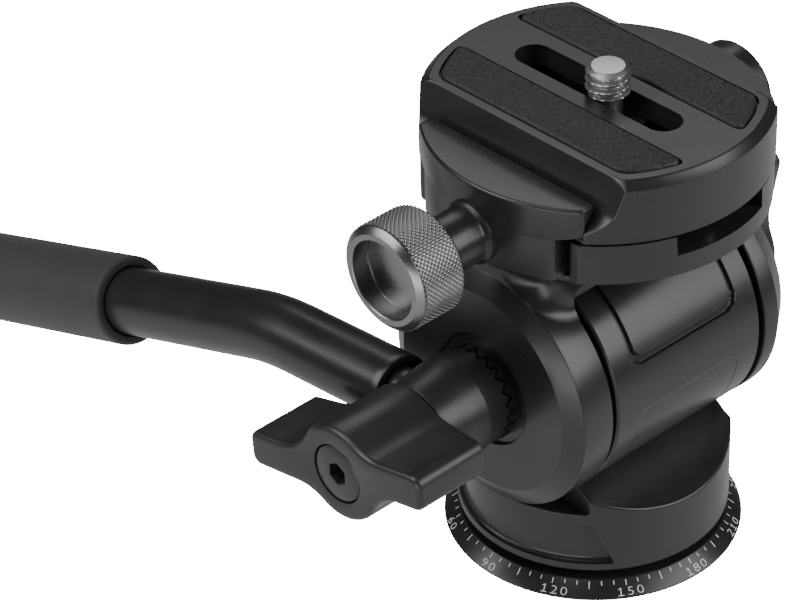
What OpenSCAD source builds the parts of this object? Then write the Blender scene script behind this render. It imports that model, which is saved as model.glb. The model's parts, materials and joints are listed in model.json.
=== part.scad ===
// Fluid video head with a quick-release plate, a pan dial, a tilt barrel and a rosette pan bar.
// Millimetres. +Z is up, +Y is forward (lens side), +X is the side of the pan bar.
// The origin is the centre of the base's underside, on the pan axis.

/* [Base and pan dial] */
// Outer radius of the base at its underside
base_r = 22; // [21:0.1:24]
// Height of the sloping dial band
dial_h = 2.2; // [1.8:0.1:3]
// Radial width of the sloping dial band
dial_w = 2.2; // [1.6:0.1:3]
// Radius of the pan spindle
spindle_r = 8; // [7.4:0.1:8.8]
// Outer radius of the steel thread insert
insert_r = 6.4; // [5.6:0.1:6.8]
// Wall radius of the tripod socket (3/8 inch thread, smooth)
socket_r = 4.76; // [3.2:0.01:5]
// Depth of the tripod socket
socket_depth = 9.5; // [7:0.1:9.8]

/* [Pan body] */
// Radius of the pan body's collar
collar_r = 20; // [18.6:0.1:20.4]
// Height of the dark gap between the dial and the collar
collar_gap = 1; // [0.7:0.05:1.5]
// Height of the collar's edge, front and back
collar_h = 10.1; // [9.6:0.1:11.5]
// Angle at which the two roofs rise to the barrel
roof_angle = 25; // [22:0.5:30]
// Thickness of the floor that carries the pan bearing
pan_floor_t = 8.3; // [7.8:0.1:8.8]
// Wall of the pan bearing's bush
pan_bush_t = 1.5; // [1:0.1:2]
// Outer radius of the pan washers' seats
pan_washer_r = 16.5; // [14:0.1:17.5]
// Radius of the plate that holds the pan body down
retainer_r = 11.6; // [10.8:0.1:12]
// Thickness of the plate that holds the pan body down
retainer_t = 1.8; // [1.4:0.1:2]
// Depth of the finger scoop in the collar's side
scoop_depth = 0.9; // [0.3:0.05:1]
// Height of the finger scoop
scoop_h = 6.8; // [5:0.1:7]
// Length of the finger scoop's chord
scoop_w = 25.6; // [20:0.1:27]

/* [Tilt barrel] */
// Height of the tilt axis
tilt_z = 33.5; // [33:0.1:36]
// Radius of the barrel
barrel_r = 18.6; // [18:0.1:19]
// Width of the barrel
barrel_w = 29.2; // [28:0.1:31]
// Radius of the drag chamber in the barrel
chamber_r = 14; // [13.4:0.1:14.6]
// Thickness of the barrel's end wall and cover
end_wall_t = 3; // [2.6:0.1:3.6]
// Radius of the tilt shaft
shaft_r = 5; // [4.6:0.1:5.4]
// Wall of the tilt bushes
tilt_bush_t = 2; // [1.4:0.1:2.4]
// Number of drag discs on the shaft
rotor_count = 4; // [2:1:5]
// Thickness of each drag disc
drag_disc_t = 1.2; // [0.8:0.1:1.5]
// Film of damping grease between drag discs
drag_film = 0.3; // [0.25:0.05:0.4]
// Width of the panel framed by the barrel's groove
panel_w = 21.6; // [18:0.1:23]
// Height of the panel's lower edge above the tilt axis
panel_low = 6.2; // [4:0.1:8]
// Width of the groove round the panel
groove_w = 1.1; // [0.8:0.1:1.5]
// Depth of the groove round the panel
groove_depth = 0.6; // [0.3:0.05:1]

/* [Tilt yoke] */
// Gap between the barrel and each cheek
cheek_gap = 1; // [0.8:0.05:1.4]
// Thickness of a cheek
cheek_t = 5.5; // [5:0.1:6]
// Radius of a cheek
cheek_r = 18.7; // [18:0.1:19]
// Radius of a cheek's flat face
cheek_face_r = 15.8; // [14:0.1:16.6]
// Width of a cheek's bevel, along the tilt axis
cheek_bevel = 1.6; // [1:0.1:2.2]
// Width of the saddle, front to back
saddle_w = 20; // [18:0.1:22]
// Radius of the saddle's flare under the clamp
saddle_flare = 3; // [1.5:0.1:3.5]
// Radius of the saddle's round top under the clamp
flange_r = 22.8; // [21.5:0.1:23]
// Thickness of the saddle's round top
flange_t = 2; // [1.6:0.1:2.4]
// Gap between the barrel and the saddle
barrel_clear = 0.6; // [0.5:0.05:0.8]
// Thickness of the saddle over the barrel
bridge_t = 4.2; // [3.8:0.1:5]

/* [Quick-release clamp] */
// Radius of the clamp
clamp_r = 24.7; // [24:0.1:26]
// Height of the clamp base
clamp_base_h = 6.4; // [6.2:0.1:7]
// Height of the clamp screw's axis in the clamp base
clamp_screw_h = 4; // [3.8:0.1:4.2]
// Radius of the clamp screw
clamp_screw_r = 2.2; // [1.8:0.1:2.3]
// Height of the jaws' lips above the clamp base
lip_h = 5.5; // [5:0.1:6]
// Length of each jaw's lip
lip_l = 31.4; // [28:0.1:33]
// Length of the moving jaw below its lip
jaw_l = 24.7; // [22:0.1:26]
// Width of the gap beside the moving jaw
jaw_side_gap = 2.3; // [1:0.1:2.8]
// Depth of the moving jaw's seat, from the middle of the clamp
jaw_seat_x = 13; // [12.6:0.1:14]
// Distance that the moving jaw opens
jaw_travel = 3; // [2:0.1:3.5]
// Width of the window at each end of the clamp base
window_w = 17; // [14:0.1:18]
// Height of the window's sill
window_sill = 3.3; // [2.8:0.1:3.6]
// Radius of the two jaw guide pins
guide_r = 1.2; // [1:0.05:1.3]
// Distance between the two jaw guide pins
guide_pitch = 17; // [16.4:0.1:18]

/* [Quick-release plate] */
// Thickness of the plate
plate_h = 9.6; // [9.2:0.1:10.6]
// Width of the plate across its flats
plate_w = 28.4; // [27.6:0.1:29]
// Width of the dovetail
dovetail_w = 38; // [37.4:0.1:38.6]
// Height of the dovetail's upright edge
dovetail_edge = 1.6; // [1.4:0.1:1.8]
// Height at which the plate's flats start, above the dovetail
flat_rise = 2.6; // [2.2:0.1:3]
// Bevel round the plate's top edge
plate_bevel = 1.25; // [0.6:0.05:1.4]
// Length of the camera screw's slot
slot_l = 30; // [26:0.1:30.4]
// Width of the camera screw's slot
slot_w = 5.5; // [5.2:0.05:5.8]
// Distance that the plate slides each way between its stops
plate_travel = 8; // [5:0.1:9]
// Distance of the plate's stop pins from its middle
stop_y = 20.6; // [20.4:0.1:21.6]
// Radius of the plate's stop pins
stop_r = 1.2; // [0.9:0.05:1.3]
// Width of each rubber pad
pad_w = 7.8; // [6:0.1:8]
// Distance between the two rubber pads
pad_gap = 11.2; // [10.6:0.1:12]
// Radius of the circle that the pads' ends follow
pad_end_r = 22; // [20:0.1:22.6]
// Thickness of the rubber pads
pad_t = 1; // [0.8:0.05:1.3]
// Height of the pads above the plate
pad_proud = 0.4; // [0.2:0.05:0.6]

/* [Camera screw] */
// Radius of the camera screw (1/4 inch thread, smooth)
screw_r = 3.175; // [3.1:0.005:3.4]
// Height of the camera screw above the plate
screw_h = 4.4; // [4:0.1:5]
// Place of the camera screw along its slot
screw_y = 1.9; // [-8:0.1:8]
// Radius of the camera screw's waist
waist_r = 2.3; // [1.9:0.05:2.4]
// Radius of the camera screw's head
screw_head_r = 5.5; // [5:0.1:5.6]
// Height of the camera screw's head
screw_head_h = 4; // [3:0.1:4.3]

/* [Clamp knob] */
// Radius of the knurled knob
knob_r = 7.9; // [7.2:0.1:8.4]
// Length of the knurled knob
knob_l = 8.3; // [7:0.1:9]
// Radius of the hollow in the knob's end
knob_cup_r = 5.4; // [4.6:0.1:5.8]
// Depth of the hollow in the knob's end
knob_cup_depth = 3; // [2.6:0.1:4.4]
// Radius of the neck between the jaw and the knob
neck_r = 4.7; // [4.4:0.1:5.2]
// Length of the neck between the jaw and the knob
neck_l = 9.2; // [8.6:0.1:10]
// Radius of the closed nut on the far side of the clamp
nut_r = 7; // [5:0.1:7.2]

/* [Pan bar] */
// Number of teeth in the rosette
tooth_count = 21; // [21:3:24]
// Height of the rosette's teeth
tooth_h = 1.3; // [1:0.05:1.5]
// Outer radius of the rosette
rosette_r = 7.4; // [7.2:0.1:7.8]
// Height of the rosette's teeth above the cheek
rosette_h = 2.3; // [1.8:0.1:3]
// Radius of the raised rim round the rosette
rim_r = 9.6; // [9.4:0.1:11]
// Height of the raised rim round the rosette
rim_h = 1.2; // [0.8:0.1:1.6]
// Radius of the pan bar's hub
hub_r = 7.3; // [7:0.1:7.9]
// Length of the pan bar's hub
hub_l = 11.1; // [10.8:0.1:15]
// Distance of the bar from the hub's toothed end
bar_offset = 5.2; // [5:0.1:6.5]
// Radius of the bar
bar_r = 5.2; // [4.8:0.1:5.4]
// Wall of the bar's tube
bar_wall = 1.2; // [0.8:0.1:1.5]
// Distance of the tube's open end from the hub's axis
bar_start = 8.5; // [8.3:0.1:11]
// Length from the hub's axis to the corner of the bend
bar_reach = 35; // [32:0.5:42]
// Radius of the bend
bend_r = 42; // [35:1:90]
// Angle of the first run below the horizontal
bar_drop = 5.4; // [0:0.1:10]
// Angle of the bend
bar_bend = 14; // [8:0.5:20]
// Distance from the bend's corner to the grip
grip_start = 35.5; // [26:0.5:40]
// Length of the grip
grip_l = 105; // [90:1:120]
// Radius of the grip
grip_r = 6.9; // [6.4:0.1:7.4]
// Length of the steel spigot in the tube
spigot_l = 16; // [12:0.5:16]

/* [Wing knobs] */
// Thickness of the pan bar's wing knob, along its axis
wing_t = 13.9; // [9:0.1:15]
// Thickness of the tilt lock's wing knob, along its axis
lock_t = 8.6; // [7:0.1:13]
// Radius of a wing knob's middle
wing_r = 7.3; // [6.6:0.1:8]
// Distance of a wing's tip from the knob's middle, along the wings
wing_reach = 17.2; // [16:0.1:17.5]
// Radius of the two corners of a wing's tip
wing_tip_r = 0.8; // [0.5:0.1:1.2]
// Distance between the middles of a wing tip's two corners
wing_tip_h = 2.6; // [1.6:0.1:3.2]
// Radius of the hollow between the wings and the middle
wing_blend = 8; // [5:0.5:9]
// Radius of a wing bolt's shank
bolt_r = 3; // [2.6:0.05:3.1]
// Radius of a wing bolt's head
bolt_head_r = 4.3; // [4:0.1:5]
// Height of a wing bolt's head
bolt_head_h = 3; // [2:0.1:3.6]
// Turn of the pan bar's wing knob
wing_turn = 0; // [-20:1:20]
// Turn of the tilt lock's wing knob
lock_turn = 90; // [0:1:90]

/* [Hidden] */
$fn = 72;

// Fits: pressed pieces, running shafts, sliding faces, and pieces that pass each other
press_gap = 0.02;
run_gap = 0.05;
slide_gap = 0.1;
pass_gap = 0.4;
// An overshoot that carries a cut past the face it opens
past = 1;
far = 80;

black = "#2c2d2f";
soft_black = "#3a3b3d";
rubber_black = "#242526";
titanium = "#8d9095";
steel = "#b9bcc0";
bronze = "#a9824c";
nylon = "#d9d6cc";

// Heights on the pan axis
dial_land = 0.3;
collar_z = dial_h + collar_gap;
scoop_rise = 2.3;
roof_z = collar_z + collar_h;
floor_z = collar_z + pan_floor_t;
pan_washer_t = 0.9;
spindle_top = floor_z + pan_washer_t + slide_gap;
pan_bush_r = spindle_r + run_gap + pan_bush_t;
retainer_screw_r = 1.25;
retainer_head_r = 2.2;
retainer_head_h = 1.8;
retainer_edge = 1;
retainer_grip = 1.6;
retainer_pitch_r = spindle_r - retainer_head_r - retainer_edge;
retainer_top = spindle_top + retainer_t;
access_r = retainer_pitch_r + retainer_head_r + pass_gap;

// Places along the tilt axis
barrel_x = barrel_w / 2;
cheek_x = barrel_x + cheek_gap;
face_x = cheek_x + cheek_t;
saddle_x = face_x - cheek_bevel;
pocket_gap = 0.8;
pocket_z = tilt_z - cheek_r - pocket_gap;
tilt_bush_r = shaft_r + run_gap + tilt_bush_t;
cover_flange_t = 1.6;
cover_rim = 1.4;
cover_flange_r = barrel_r - cover_rim;
cover_screw_r = 0.7;
cover_screw_l = 4;
cover_head_r = 1.2;
cover_head_h = 0.8;
cover_pitch_r = (cover_flange_r + chamber_r) / 2;
cover_seat = -barrel_x + slide_gap + cover_head_h;
chamber_x0 = -barrel_x + end_wall_t;
chamber_x1 = barrel_x - end_wall_t;
disc_clear = 1;
rotor_r = chamber_r - 2 * disc_clear;
stator_bore_r = shaft_r + disc_clear;
drag_pitch = 2 * (drag_disc_t + drag_film);
cheek_washer_land = 4.5;
cheek_washer_r = tilt_bush_r + cheek_washer_land;

// Places along the rosette and its hub
recess_depth = 0.6;
recess_gap = 1.2;
recess_r = rosette_r + recess_gap;
recess_x = face_x - recess_depth;
root_x = face_x + rosette_h;
mesh_gap = 0.2;
hub_x = root_x + tooth_h + mesh_gap;
hub_end = hub_x + hub_l;
bar_x = hub_x + bar_offset;
tooth_l = 1.4;
tooth_in_r = rosette_r - tooth_l;
tooth_fill = 0.9;
tooth_turn = 12.7;
tooth_w = tooth_fill * 2 * PI * tooth_in_r / tooth_count;
hub_nose_l = 1.3;
hub_flare_l = 4.3;
spigot_seat = 4.8;
bore_gap = 0.4;
hub_bore_r = bolt_r + bore_gap;

// Wing knobs
wing_washer_t = 0.4;
wing_washer_inset = 1;
wing_washer_r = wing_r - wing_washer_inset;
wing_x = hub_end + wing_washer_t + slide_gap;
bolt_sink = 0.4;
bolt_grip = 11;
lock_washer_t = 1.2;
lock_x = face_x + lock_washer_t + slide_gap;
wing_root_r = 2.8;
wing_rise = 4.8;
wing_root_x = 8;
wing_root_y = 3.1;
hex_key = 3;
hex_depth = 2;

// Heights in the clamp and the plate
clamp_z = tilt_z + barrel_r + barrel_clear + bridge_t;
clamp_top = clamp_z + clamp_base_h;
clamp_axis_z = clamp_z + clamp_screw_h;
lip_z = clamp_top + lip_h;
jaw_foot = 0.2;
jaw_gap = 0.35;
fixed_gap = 0.15;
lip_face_gap = 1.2;
lip_under = 2;
jaw_y = jaw_l / 2;
lip_y = lip_l / 2;
jaw_end_gap = 0.5;
neck_sink = 1.1;
neck_seat = clamp_r - neck_sink;
neck_flange_step = 0.7;
neck_flange_r = neck_r + neck_flange_step;
neck_flange_t = 1.4;
knob_x = neck_seat + neck_l + slide_gap;
knob_end = knob_x + knob_l;
knob_bevel = 1.4;
nut_sink = 1.6;
nut_seat = clamp_r - nut_sink;
nut_wall = 1.4;
thread_hold = 0.4;
nut_l = jaw_travel + thread_hold + nut_wall;
nut_end = -nut_seat - nut_l;
spring_wall = 0.5;
spring_seat = 4;
spring_bore_r = guide_r + pass_gap / 2;
spring_r = spring_bore_r + spring_wall;
guide_grip = 2.4;
guide_hold = 2.5;
guide_x0 = jaw_seat_x - spring_seat - guide_grip;
guide_x1 = jaw_seat_x + jaw_end_gap + jaw_travel + guide_hold;
base_screw_r = 1.5;
base_head_r = 2.8;
base_head_h = 1.7;
base_screw_at = [3.5, 6.2];
base_screw_l = base_head_h + bridge_t;

plate_proud = 0.05;
plate_r = clamp_r + plate_proud;
plate_z = clamp_top + slide_gap;
plate_top = plate_z + plate_h;
edge_z = plate_z + dovetail_edge;
flank_step = 1.4;
flank_x = plate_w / 2 + flank_step;
flank_z = edge_z + dovetail_w / 2 - flank_x;
pad_floor = plate_top + pad_proud - pad_t;
pad_fit = 0.15;
stop_drop = 2;
stop_grip = 3;
stop_block = stop_y - plate_travel - stop_r - slide_gap;

// Camera screw, from the top down
slot_end = (slot_l - slot_w) / 2;
waist_rise = 0.2;
waist_top = plate_top + pad_proud + waist_rise;
screw_top = plate_top + screw_h;
screw_bevel = 0.4;
washer_t = 0.6;
well_depth = dovetail_edge + screw_head_h + washer_t;
well_top = plate_z + well_depth;
washer_z = well_top - slide_gap - washer_t;
head_top = washer_z - slide_gap;
well_gap = 0.5;
well_w = 2 * (screw_head_r + well_gap);
washer_bore_r = waist_r + pass_gap;
coin_slot_w = 1.4;
coin_slot_depth = 1.5;

// The bar's runs after the hub
bend_tangent = bend_r * tan(bar_bend / 2);
bar_bore_r = bar_r - bar_wall;
bend_swell = 0.02;
bend_lap = 0.5;
tube_stop = 4;

// A cylinder along X between two places
module rod_x(r, x0, x1) {
    translate([x0, 0, 0]) rotate([0, 90, 0]) cylinder(r = r, h = x1 - x0);
}

// A turned piece along X from an outline of [radius, place]
module turned_x(outline) {
    rotate([0, 90, 0]) rotate_extrude() polygon(outline);
}

// An outline in Y and Z, carried along X
module carry_x(x0, x1) {
    translate([x0, 0, 0]) rotate([90, 0, 90]) linear_extrude(x1 - x0) children();
}

// An outline in X and Z, carried along Y about the middle
module carry_y(length) {
    translate([0, length / 2, 0]) rotate([90, 0, 0]) linear_extrude(length) children();
}

// A flat ring
module ring(r0, r1, h) {
    difference() {
        cylinder(r = r1, h = h);
        translate([0, 0, -past]) cylinder(r = r0, h = h + 2 * past);
    }
}

// A slot with round ends along Y
module slot(width, centres, h) {
    linear_extrude(h) {
        square([width, 2 * centres], center = true);
        for (s = [-1, 1]) translate([0, s * centres]) circle(d = width);
    }
}

// Rosette teeth that stand on z = 0 and point up
module face_teeth(turn) {
    intersection() {
        translate([0, 0, -past / 2]) ring(tooth_in_r, rosette_r, tooth_h + past);
        for (i = [0 : tooth_count - 1])
            rotate(turn + i * 360 / tooth_count)
                translate([tooth_in_r - past / 2, 0, 0]) rotate([90, 0, 90])
                    linear_extrude(rosette_r - tooth_in_r + past)
                        polygon([
                            [-tooth_w / 2, -past / 4], [tooth_w / 2, -past / 4],
                            [tooth_w / 2, 0], [0, tooth_h], [-tooth_w / 2, 0]
                        ]);
    }
}

// The outline of a wing knob, across its axis
module wing_outline() {
    offset(r = -wing_blend) offset(r = wing_blend) {
        circle(wing_r);
        for (turn = [0, 180]) rotate(turn)
            hull($fn = 32) {
                translate([wing_root_x, wing_root_y]) circle(wing_root_r);
                for (s = [-1, 1])
                    translate([wing_reach - wing_tip_r, wing_rise + s * wing_tip_h / 2]) circle(wing_tip_r);
            }
    }
}

// A wing knob that stands on z = 0, with its bolt's seat in its outer face
module wing_body(thick) {
    difference() {
        linear_extrude(thick) wing_outline();
        translate([0, 0, -past]) cylinder(r = bolt_r + press_gap, h = thick + 2 * past);
        translate([0, 0, thick - bolt_sink - bolt_head_h])
            cylinder(r = bolt_head_r + press_gap, h = bolt_head_h + bolt_sink + past);
    }
}

// A wing knob's bolt: its head lies in the knob and its shank reaches down past z = 0
module wing_bolt_body(thick, shank) {
    head_z = thick - bolt_sink - bolt_head_h;
    difference() {
        union() {
            translate([0, 0, head_z]) cylinder(r = bolt_head_r, h = bolt_head_h);
            translate([0, 0, -shank]) cylinder(r = bolt_r, h = shank + head_z + past);
        }
        translate([0, 0, thick - bolt_sink - hex_depth])
            cylinder(d = hex_key / cos(30), h = hex_depth + past, $fn = 6);
    }
}

module on_tilt_axis() {
    translate([0, 0, tilt_z]) children();
}

module on_clamp_axis() {
    translate([0, 0, clamp_axis_z]) children();
}

// Puts a piece that stands on z = 0 on the tilt axis, at a place on the right or the left
module at_right(x, turn = 0) {
    translate([x, 0, tilt_z]) rotate([turn, 0, 0]) rotate([90, 0, 90]) children();
}

module at_left(x, turn = 0) {
    translate([-x, 0, tilt_z]) rotate([turn, 0, 0]) rotate([90, 0, -90]) children();
}

// Points +Z along the bar's first run, with the hub's axis at the origin
module along_bar() {
    translate([bar_x, 0, tilt_z]) rotate([90 + bar_drop, 0, 0]) children();
}

// Points +Z along the bar's second run, from the corner of the bend
module along_grip() {
    along_bar() translate([0, 0, bar_reach]) rotate([bar_bend, 0, 0]) children();
}

module base_ring() {
    color(black) difference() {
        rotate_extrude() polygon([
            [0, 0], [base_r, 0], [base_r, dial_land], [base_r - dial_w, dial_h],
            [spindle_r, dial_h], [spindle_r, spindle_top], [0, spindle_top]
        ]);
        translate([0, 0, -past]) cylinder(r = insert_r + press_gap, h = socket_depth + past);
        retainer_screw_places(spindle_top - retainer_grip - slide_gap)
            cylinder(r = retainer_screw_r + press_gap, h = far);
    }
}

module retainer_screw_places(z) {
    for (i = [0 : 2]) rotate(30 + i * 120) translate([retainer_pitch_r, 0, z]) children();
}

module socket_insert() {
    color(steel) ring(socket_r, insert_r, socket_depth);
}

module pan_thrust_washer() {
    color(nylon) translate([0, 0, dial_h])
        ring(pan_bush_r + pass_gap, pan_washer_r, collar_gap - slide_gap);
}

module pan_retainer() {
    color(steel) difference() {
        translate([0, 0, spindle_top]) cylinder(r = retainer_r, h = retainer_t);
        retainer_screw_places(spindle_top - past) cylinder(r = retainer_screw_r + press_gap, h = far);
    }
}

module pan_retainer_screws() {
    color(steel) {
        retainer_screw_places(spindle_top - retainer_grip)
            cylinder(r = retainer_screw_r, h = retainer_grip + retainer_t);
        retainer_screw_places(retainer_top) cylinder(r = retainer_head_r, h = retainer_head_h);
    }
}

// The roofs of the pan body, seen along X
module roof_outline() {
    polygon([
        [-collar_r, collar_z], [collar_r, collar_z], [collar_r, roof_z],
        [0, roof_z + collar_r * tan(roof_angle)], [-collar_r, roof_z]
    ]);
}

// The groove that frames the barrel's front panel, seen along Y and open at its top
module panel_groove_outline() {
    corner_r = 2.4;
    x = panel_w / 2;
    inner_r = corner_r - groove_w;
    translate([-x, panel_low + corner_r]) square([groove_w, far]);
    translate([x - groove_w, panel_low + corner_r]) square([groove_w, far]);
    translate([-x + corner_r, panel_low]) square([panel_w - 2 * corner_r, groove_w]);
    for (s = [-1, 1]) translate([s * (x - corner_r), panel_low + corner_r])
        intersection() {
            difference() {
                circle(corner_r);
                circle(inner_r);
            }
            translate([s > 0 ? 0 : -corner_r, -corner_r]) square(corner_r);
        }
}

module barrel_groove() {
    on_tilt_axis() intersection() {
        difference() {
            rod_x(barrel_r + past, -barrel_x, barrel_x);
            rod_x(barrel_r - groove_depth, -barrel_x - past, barrel_x + past);
        }
        translate([0, barrel_r, 0]) carry_y(2 * barrel_r) panel_groove_outline();
    }
}

module collar_scoop() {
    translate([0, -scoop_w / 2, collar_z + scoop_rise]) intersection() {
        translate([0, scoop_w / 2, 0]) ring(collar_r - scoop_depth, collar_r + past, scoop_h);
        translate([0, 0, -past]) cube([far, scoop_w, far]);
    }
}

module pan_body() {
    color(black) difference() {
        union() {
            intersection() {
                translate([0, 0, collar_z]) cylinder(r = collar_r, h = tilt_z - collar_z);
                carry_x(-collar_r, collar_r) roof_outline();
            }
            on_tilt_axis() rod_x(barrel_r, -barrel_x, barrel_x);
        }
        for (s = [-1, 1]) translate([s > 0 ? barrel_x : -barrel_x - far, -far / 2, pocket_z]) cube(far);
        on_tilt_axis() rod_x(chamber_r, -barrel_x - past, chamber_x1);
        on_tilt_axis() rod_x(cover_flange_r, -barrel_x - past, -barrel_x + cover_flange_t);
        cover_screw_places()
            rod_x(cover_screw_r + press_gap, -barrel_x, cover_seat + cover_screw_l + slide_gap);
        on_tilt_axis() rod_x(tilt_bush_r + press_gap, 0, barrel_x + past);
        translate([0, 0, collar_z - past]) cylinder(r = pan_bush_r + press_gap, h = pan_floor_t + 2 * past);
        translate([0, 0, floor_z])
            cylinder(r = retainer_r + pass_gap, h = retainer_top + pass_gap - floor_z);
        translate([0, 0, floor_z]) cylinder(r = access_r, h = tilt_z - floor_z);
        barrel_groove();
        collar_scoop();
    }
}

module pan_bush() {
    color(bronze) translate([0, 0, collar_z + slide_gap])
        ring(spindle_r + run_gap, pan_bush_r, pan_floor_t - 2 * slide_gap);
}

module pan_upper_washer() {
    color(nylon) translate([0, 0, floor_z]) ring(spindle_r + pass_gap, retainer_r, pan_washer_t);
}

module cover_screw_places() {
    for (i = [0 : 2]) on_tilt_axis() rotate([90 + i * 120, 0, 0])
        translate([0, 0, cover_pitch_r]) children();
}

module barrel_cover() {
    color(black) difference() {
        union() {
            on_tilt_axis() rod_x(chamber_r - press_gap, -barrel_x, chamber_x0);
            on_tilt_axis() rod_x(cover_flange_r - press_gap, -barrel_x, -barrel_x + cover_flange_t);
        }
        on_tilt_axis() rod_x(tilt_bush_r + press_gap, -barrel_x - past, 0);
        cover_screw_places() rod_x(cover_screw_r + press_gap, -far / 2, 0);
        cover_screw_places() rod_x(cover_head_r + press_gap, -far / 2, cover_seat);
    }
}

module cover_screws() {
    color(steel) cover_screw_places() {
        rod_x(cover_head_r, cover_seat - cover_head_h, cover_seat);
        rod_x(cover_screw_r, cover_seat - cover_head_h / 2, cover_seat + cover_screw_l);
    }
}

module tilt_bush(x0) {
    color(bronze) on_tilt_axis() difference() {
        rod_x(tilt_bush_r, x0, x0 + end_wall_t);
        rod_x(shaft_r + run_gap, x0 - past, x0 + end_wall_t + past);
    }
}

module tilt_bush_right() {
    tilt_bush(chamber_x1);
}

module tilt_bush_left() {
    tilt_bush(-barrel_x);
}

module stator_discs() {
    color(steel) on_tilt_axis() for (i = [0 : rotor_count]) {
        x = (i - rotor_count / 2) * drag_pitch;
        difference() {
            rod_x(chamber_r - press_gap, x - drag_disc_t / 2, x + drag_disc_t / 2);
            rod_x(stator_bore_r, x - past, x + past);
        }
    }
}

// The saddle between the cheeks and the clamp, seen along X, with its flared top
module saddle_outline() {
    y = saddle_w / 2;
    difference() {
        union() {
            translate([-y, tilt_z]) square([saddle_w, clamp_z - tilt_z]);
            translate([-y - saddle_flare, clamp_z - saddle_flare])
                square([saddle_w + 2 * saddle_flare, saddle_flare]);
        }
        for (s = [-1, 1]) translate([s * (y + saddle_flare), clamp_z - saddle_flare]) circle(saddle_flare);
    }
}

module clamp_screw_places() {
    for (sx = [-1, 1], sy = [-1, 1]) translate([sx * base_screw_at.x, sy * base_screw_at.y, 0]) children();
}

module cheek_outline_turned() {
    turned_x([[0, cheek_x], [cheek_r, cheek_x], [cheek_r, saddle_x], [cheek_face_r, face_x], [0, face_x]]);
}

module tilt_yoke() {
    color(black) difference() {
        union() {
            on_tilt_axis() for (turn = [0, 180]) rotate(turn) cheek_outline_turned();
            for (turn = [0, 180]) rotate(turn) carry_x(cheek_x, saddle_x) saddle_outline();
            translate([-cheek_x - past, -saddle_w / 2, tilt_z])
                cube([2 * cheek_x + 2 * past, saddle_w, clamp_z - tilt_z]);
            translate([0, 0, clamp_z - flange_t]) cylinder(r = flange_r, h = flange_t);
            on_tilt_axis() turned_x([
                [0, face_x - past], [rim_r, face_x - past], [rim_r, face_x],
                [rim_r - rim_h / 2, face_x + rim_h], [0, face_x + rim_h]
            ]);
        }
        on_tilt_axis() rod_x(barrel_r + barrel_clear, -cheek_x, cheek_x);
        on_tilt_axis() rod_x(shaft_r + press_gap, -far, far);
        on_tilt_axis() rod_x(recess_r, recess_x, far);
        clamp_screw_places() translate([0, 0, clamp_z - base_screw_l + base_head_h])
            cylinder(r = base_screw_r + press_gap, h = far);
    }
}

module tilt_shaft() {
    color(steel) on_tilt_axis() difference() {
        rod_x(shaft_r, -face_x, recess_x);
        rod_x(bolt_r + run_gap, recess_x - bolt_grip, recess_x + past);
        rod_x(bolt_r + run_gap, -face_x - past, -face_x + bolt_grip);
    }
}

module rotor_discs() {
    color(bronze) on_tilt_axis() for (i = [0 : rotor_count - 1]) {
        x = (i - (rotor_count - 1) / 2) * drag_pitch;
        difference() {
            rod_x(rotor_r, x - drag_disc_t / 2, x + drag_disc_t / 2);
            rod_x(shaft_r + press_gap, x - past, x + past);
        }
    }
}

module cheek_washers() {
    color(nylon) on_tilt_axis() for (turn = [0, 180]) rotate(turn) difference() {
        rod_x(cheek_washer_r, barrel_x + slide_gap, cheek_x);
        rod_x(shaft_r + pass_gap, barrel_x - past, cheek_x + past);
    }
}

module rosette_ring() {
    color(soft_black) difference() {
        union() {
            on_tilt_axis() rod_x(rosette_r, recess_x, root_x);
            at_right(root_x) face_teeth(tooth_turn);
        }
        on_tilt_axis() rod_x(hub_bore_r, 0, far);
    }
}

module lock_washer() {
    color(steel) at_left(face_x) ring(hub_bore_r, wing_r, lock_washer_t);
}

// A jaw's lip over the dovetail, seen along Y on the right, clear of the dovetail by a gap
module lip_outline(low_z, gap) {
    lip_x = flank_x + lip_face_gap;
    foot_x = dovetail_w / 2 + gap;
    shoulder = foot_x + edge_z + gap * (sqrt(2) - 1);
    start_x = min(foot_x, shoulder - low_z);
    polygon([
        [start_x, low_z], [far, low_z], [far, lip_z], [lip_x, lip_z], [lip_x, shoulder - lip_x],
        [start_x, max(low_z, shoulder - foot_x)]
    ]);
}

module clamp_base() {
    color(black) difference() {
        union() {
            translate([0, 0, clamp_z]) cylinder(r = clamp_r, h = clamp_base_h);
            intersection() {
                translate([0, 0, clamp_z]) cylinder(r = clamp_r, h = lip_z - clamp_z);
                mirror([1, 0, 0]) carry_y(lip_l) lip_outline(clamp_top - past, fixed_gap);
            }
        }
        translate([jaw_seat_x, -jaw_y - jaw_side_gap, clamp_z - past])
            cube([far, jaw_l + 2 * jaw_side_gap, far]);
        for (turn = [0, 180]) rotate(turn) translate([-window_w / 2, stop_block, clamp_z + window_sill])
            cube([window_w, far, far]);
        on_clamp_axis() rod_x(clamp_screw_r + pass_gap, -far, far);
        on_clamp_axis() rod_x(nut_r + press_gap, -far, -nut_seat);
        guide_places() rod_x(guide_r + press_gap, guide_x0, far);
        guide_places() rod_x(spring_r + 2 * slide_gap, jaw_seat_x - spring_seat, far);
        clamp_screw_places() {
            translate([0, 0, clamp_z - past]) cylinder(r = base_screw_r + press_gap, h = far);
            translate([0, 0, clamp_z + base_head_h]) cylinder(r = base_head_r + press_gap, h = far);
        }
    }
}

module clamp_base_screws() {
    color(steel) clamp_screw_places() {
        translate([0, 0, clamp_z + base_head_h]) difference() {
            cylinder(r = base_head_r, h = base_head_h);
            translate([0, 0, base_head_h / 2]) cylinder(d = hex_key / 2 / cos(30), h = far, $fn = 6);
        }
        translate([0, 0, clamp_z + base_head_h - base_screw_l + press_gap])
            cylinder(r = base_screw_r, h = base_screw_l);
    }
}

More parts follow.
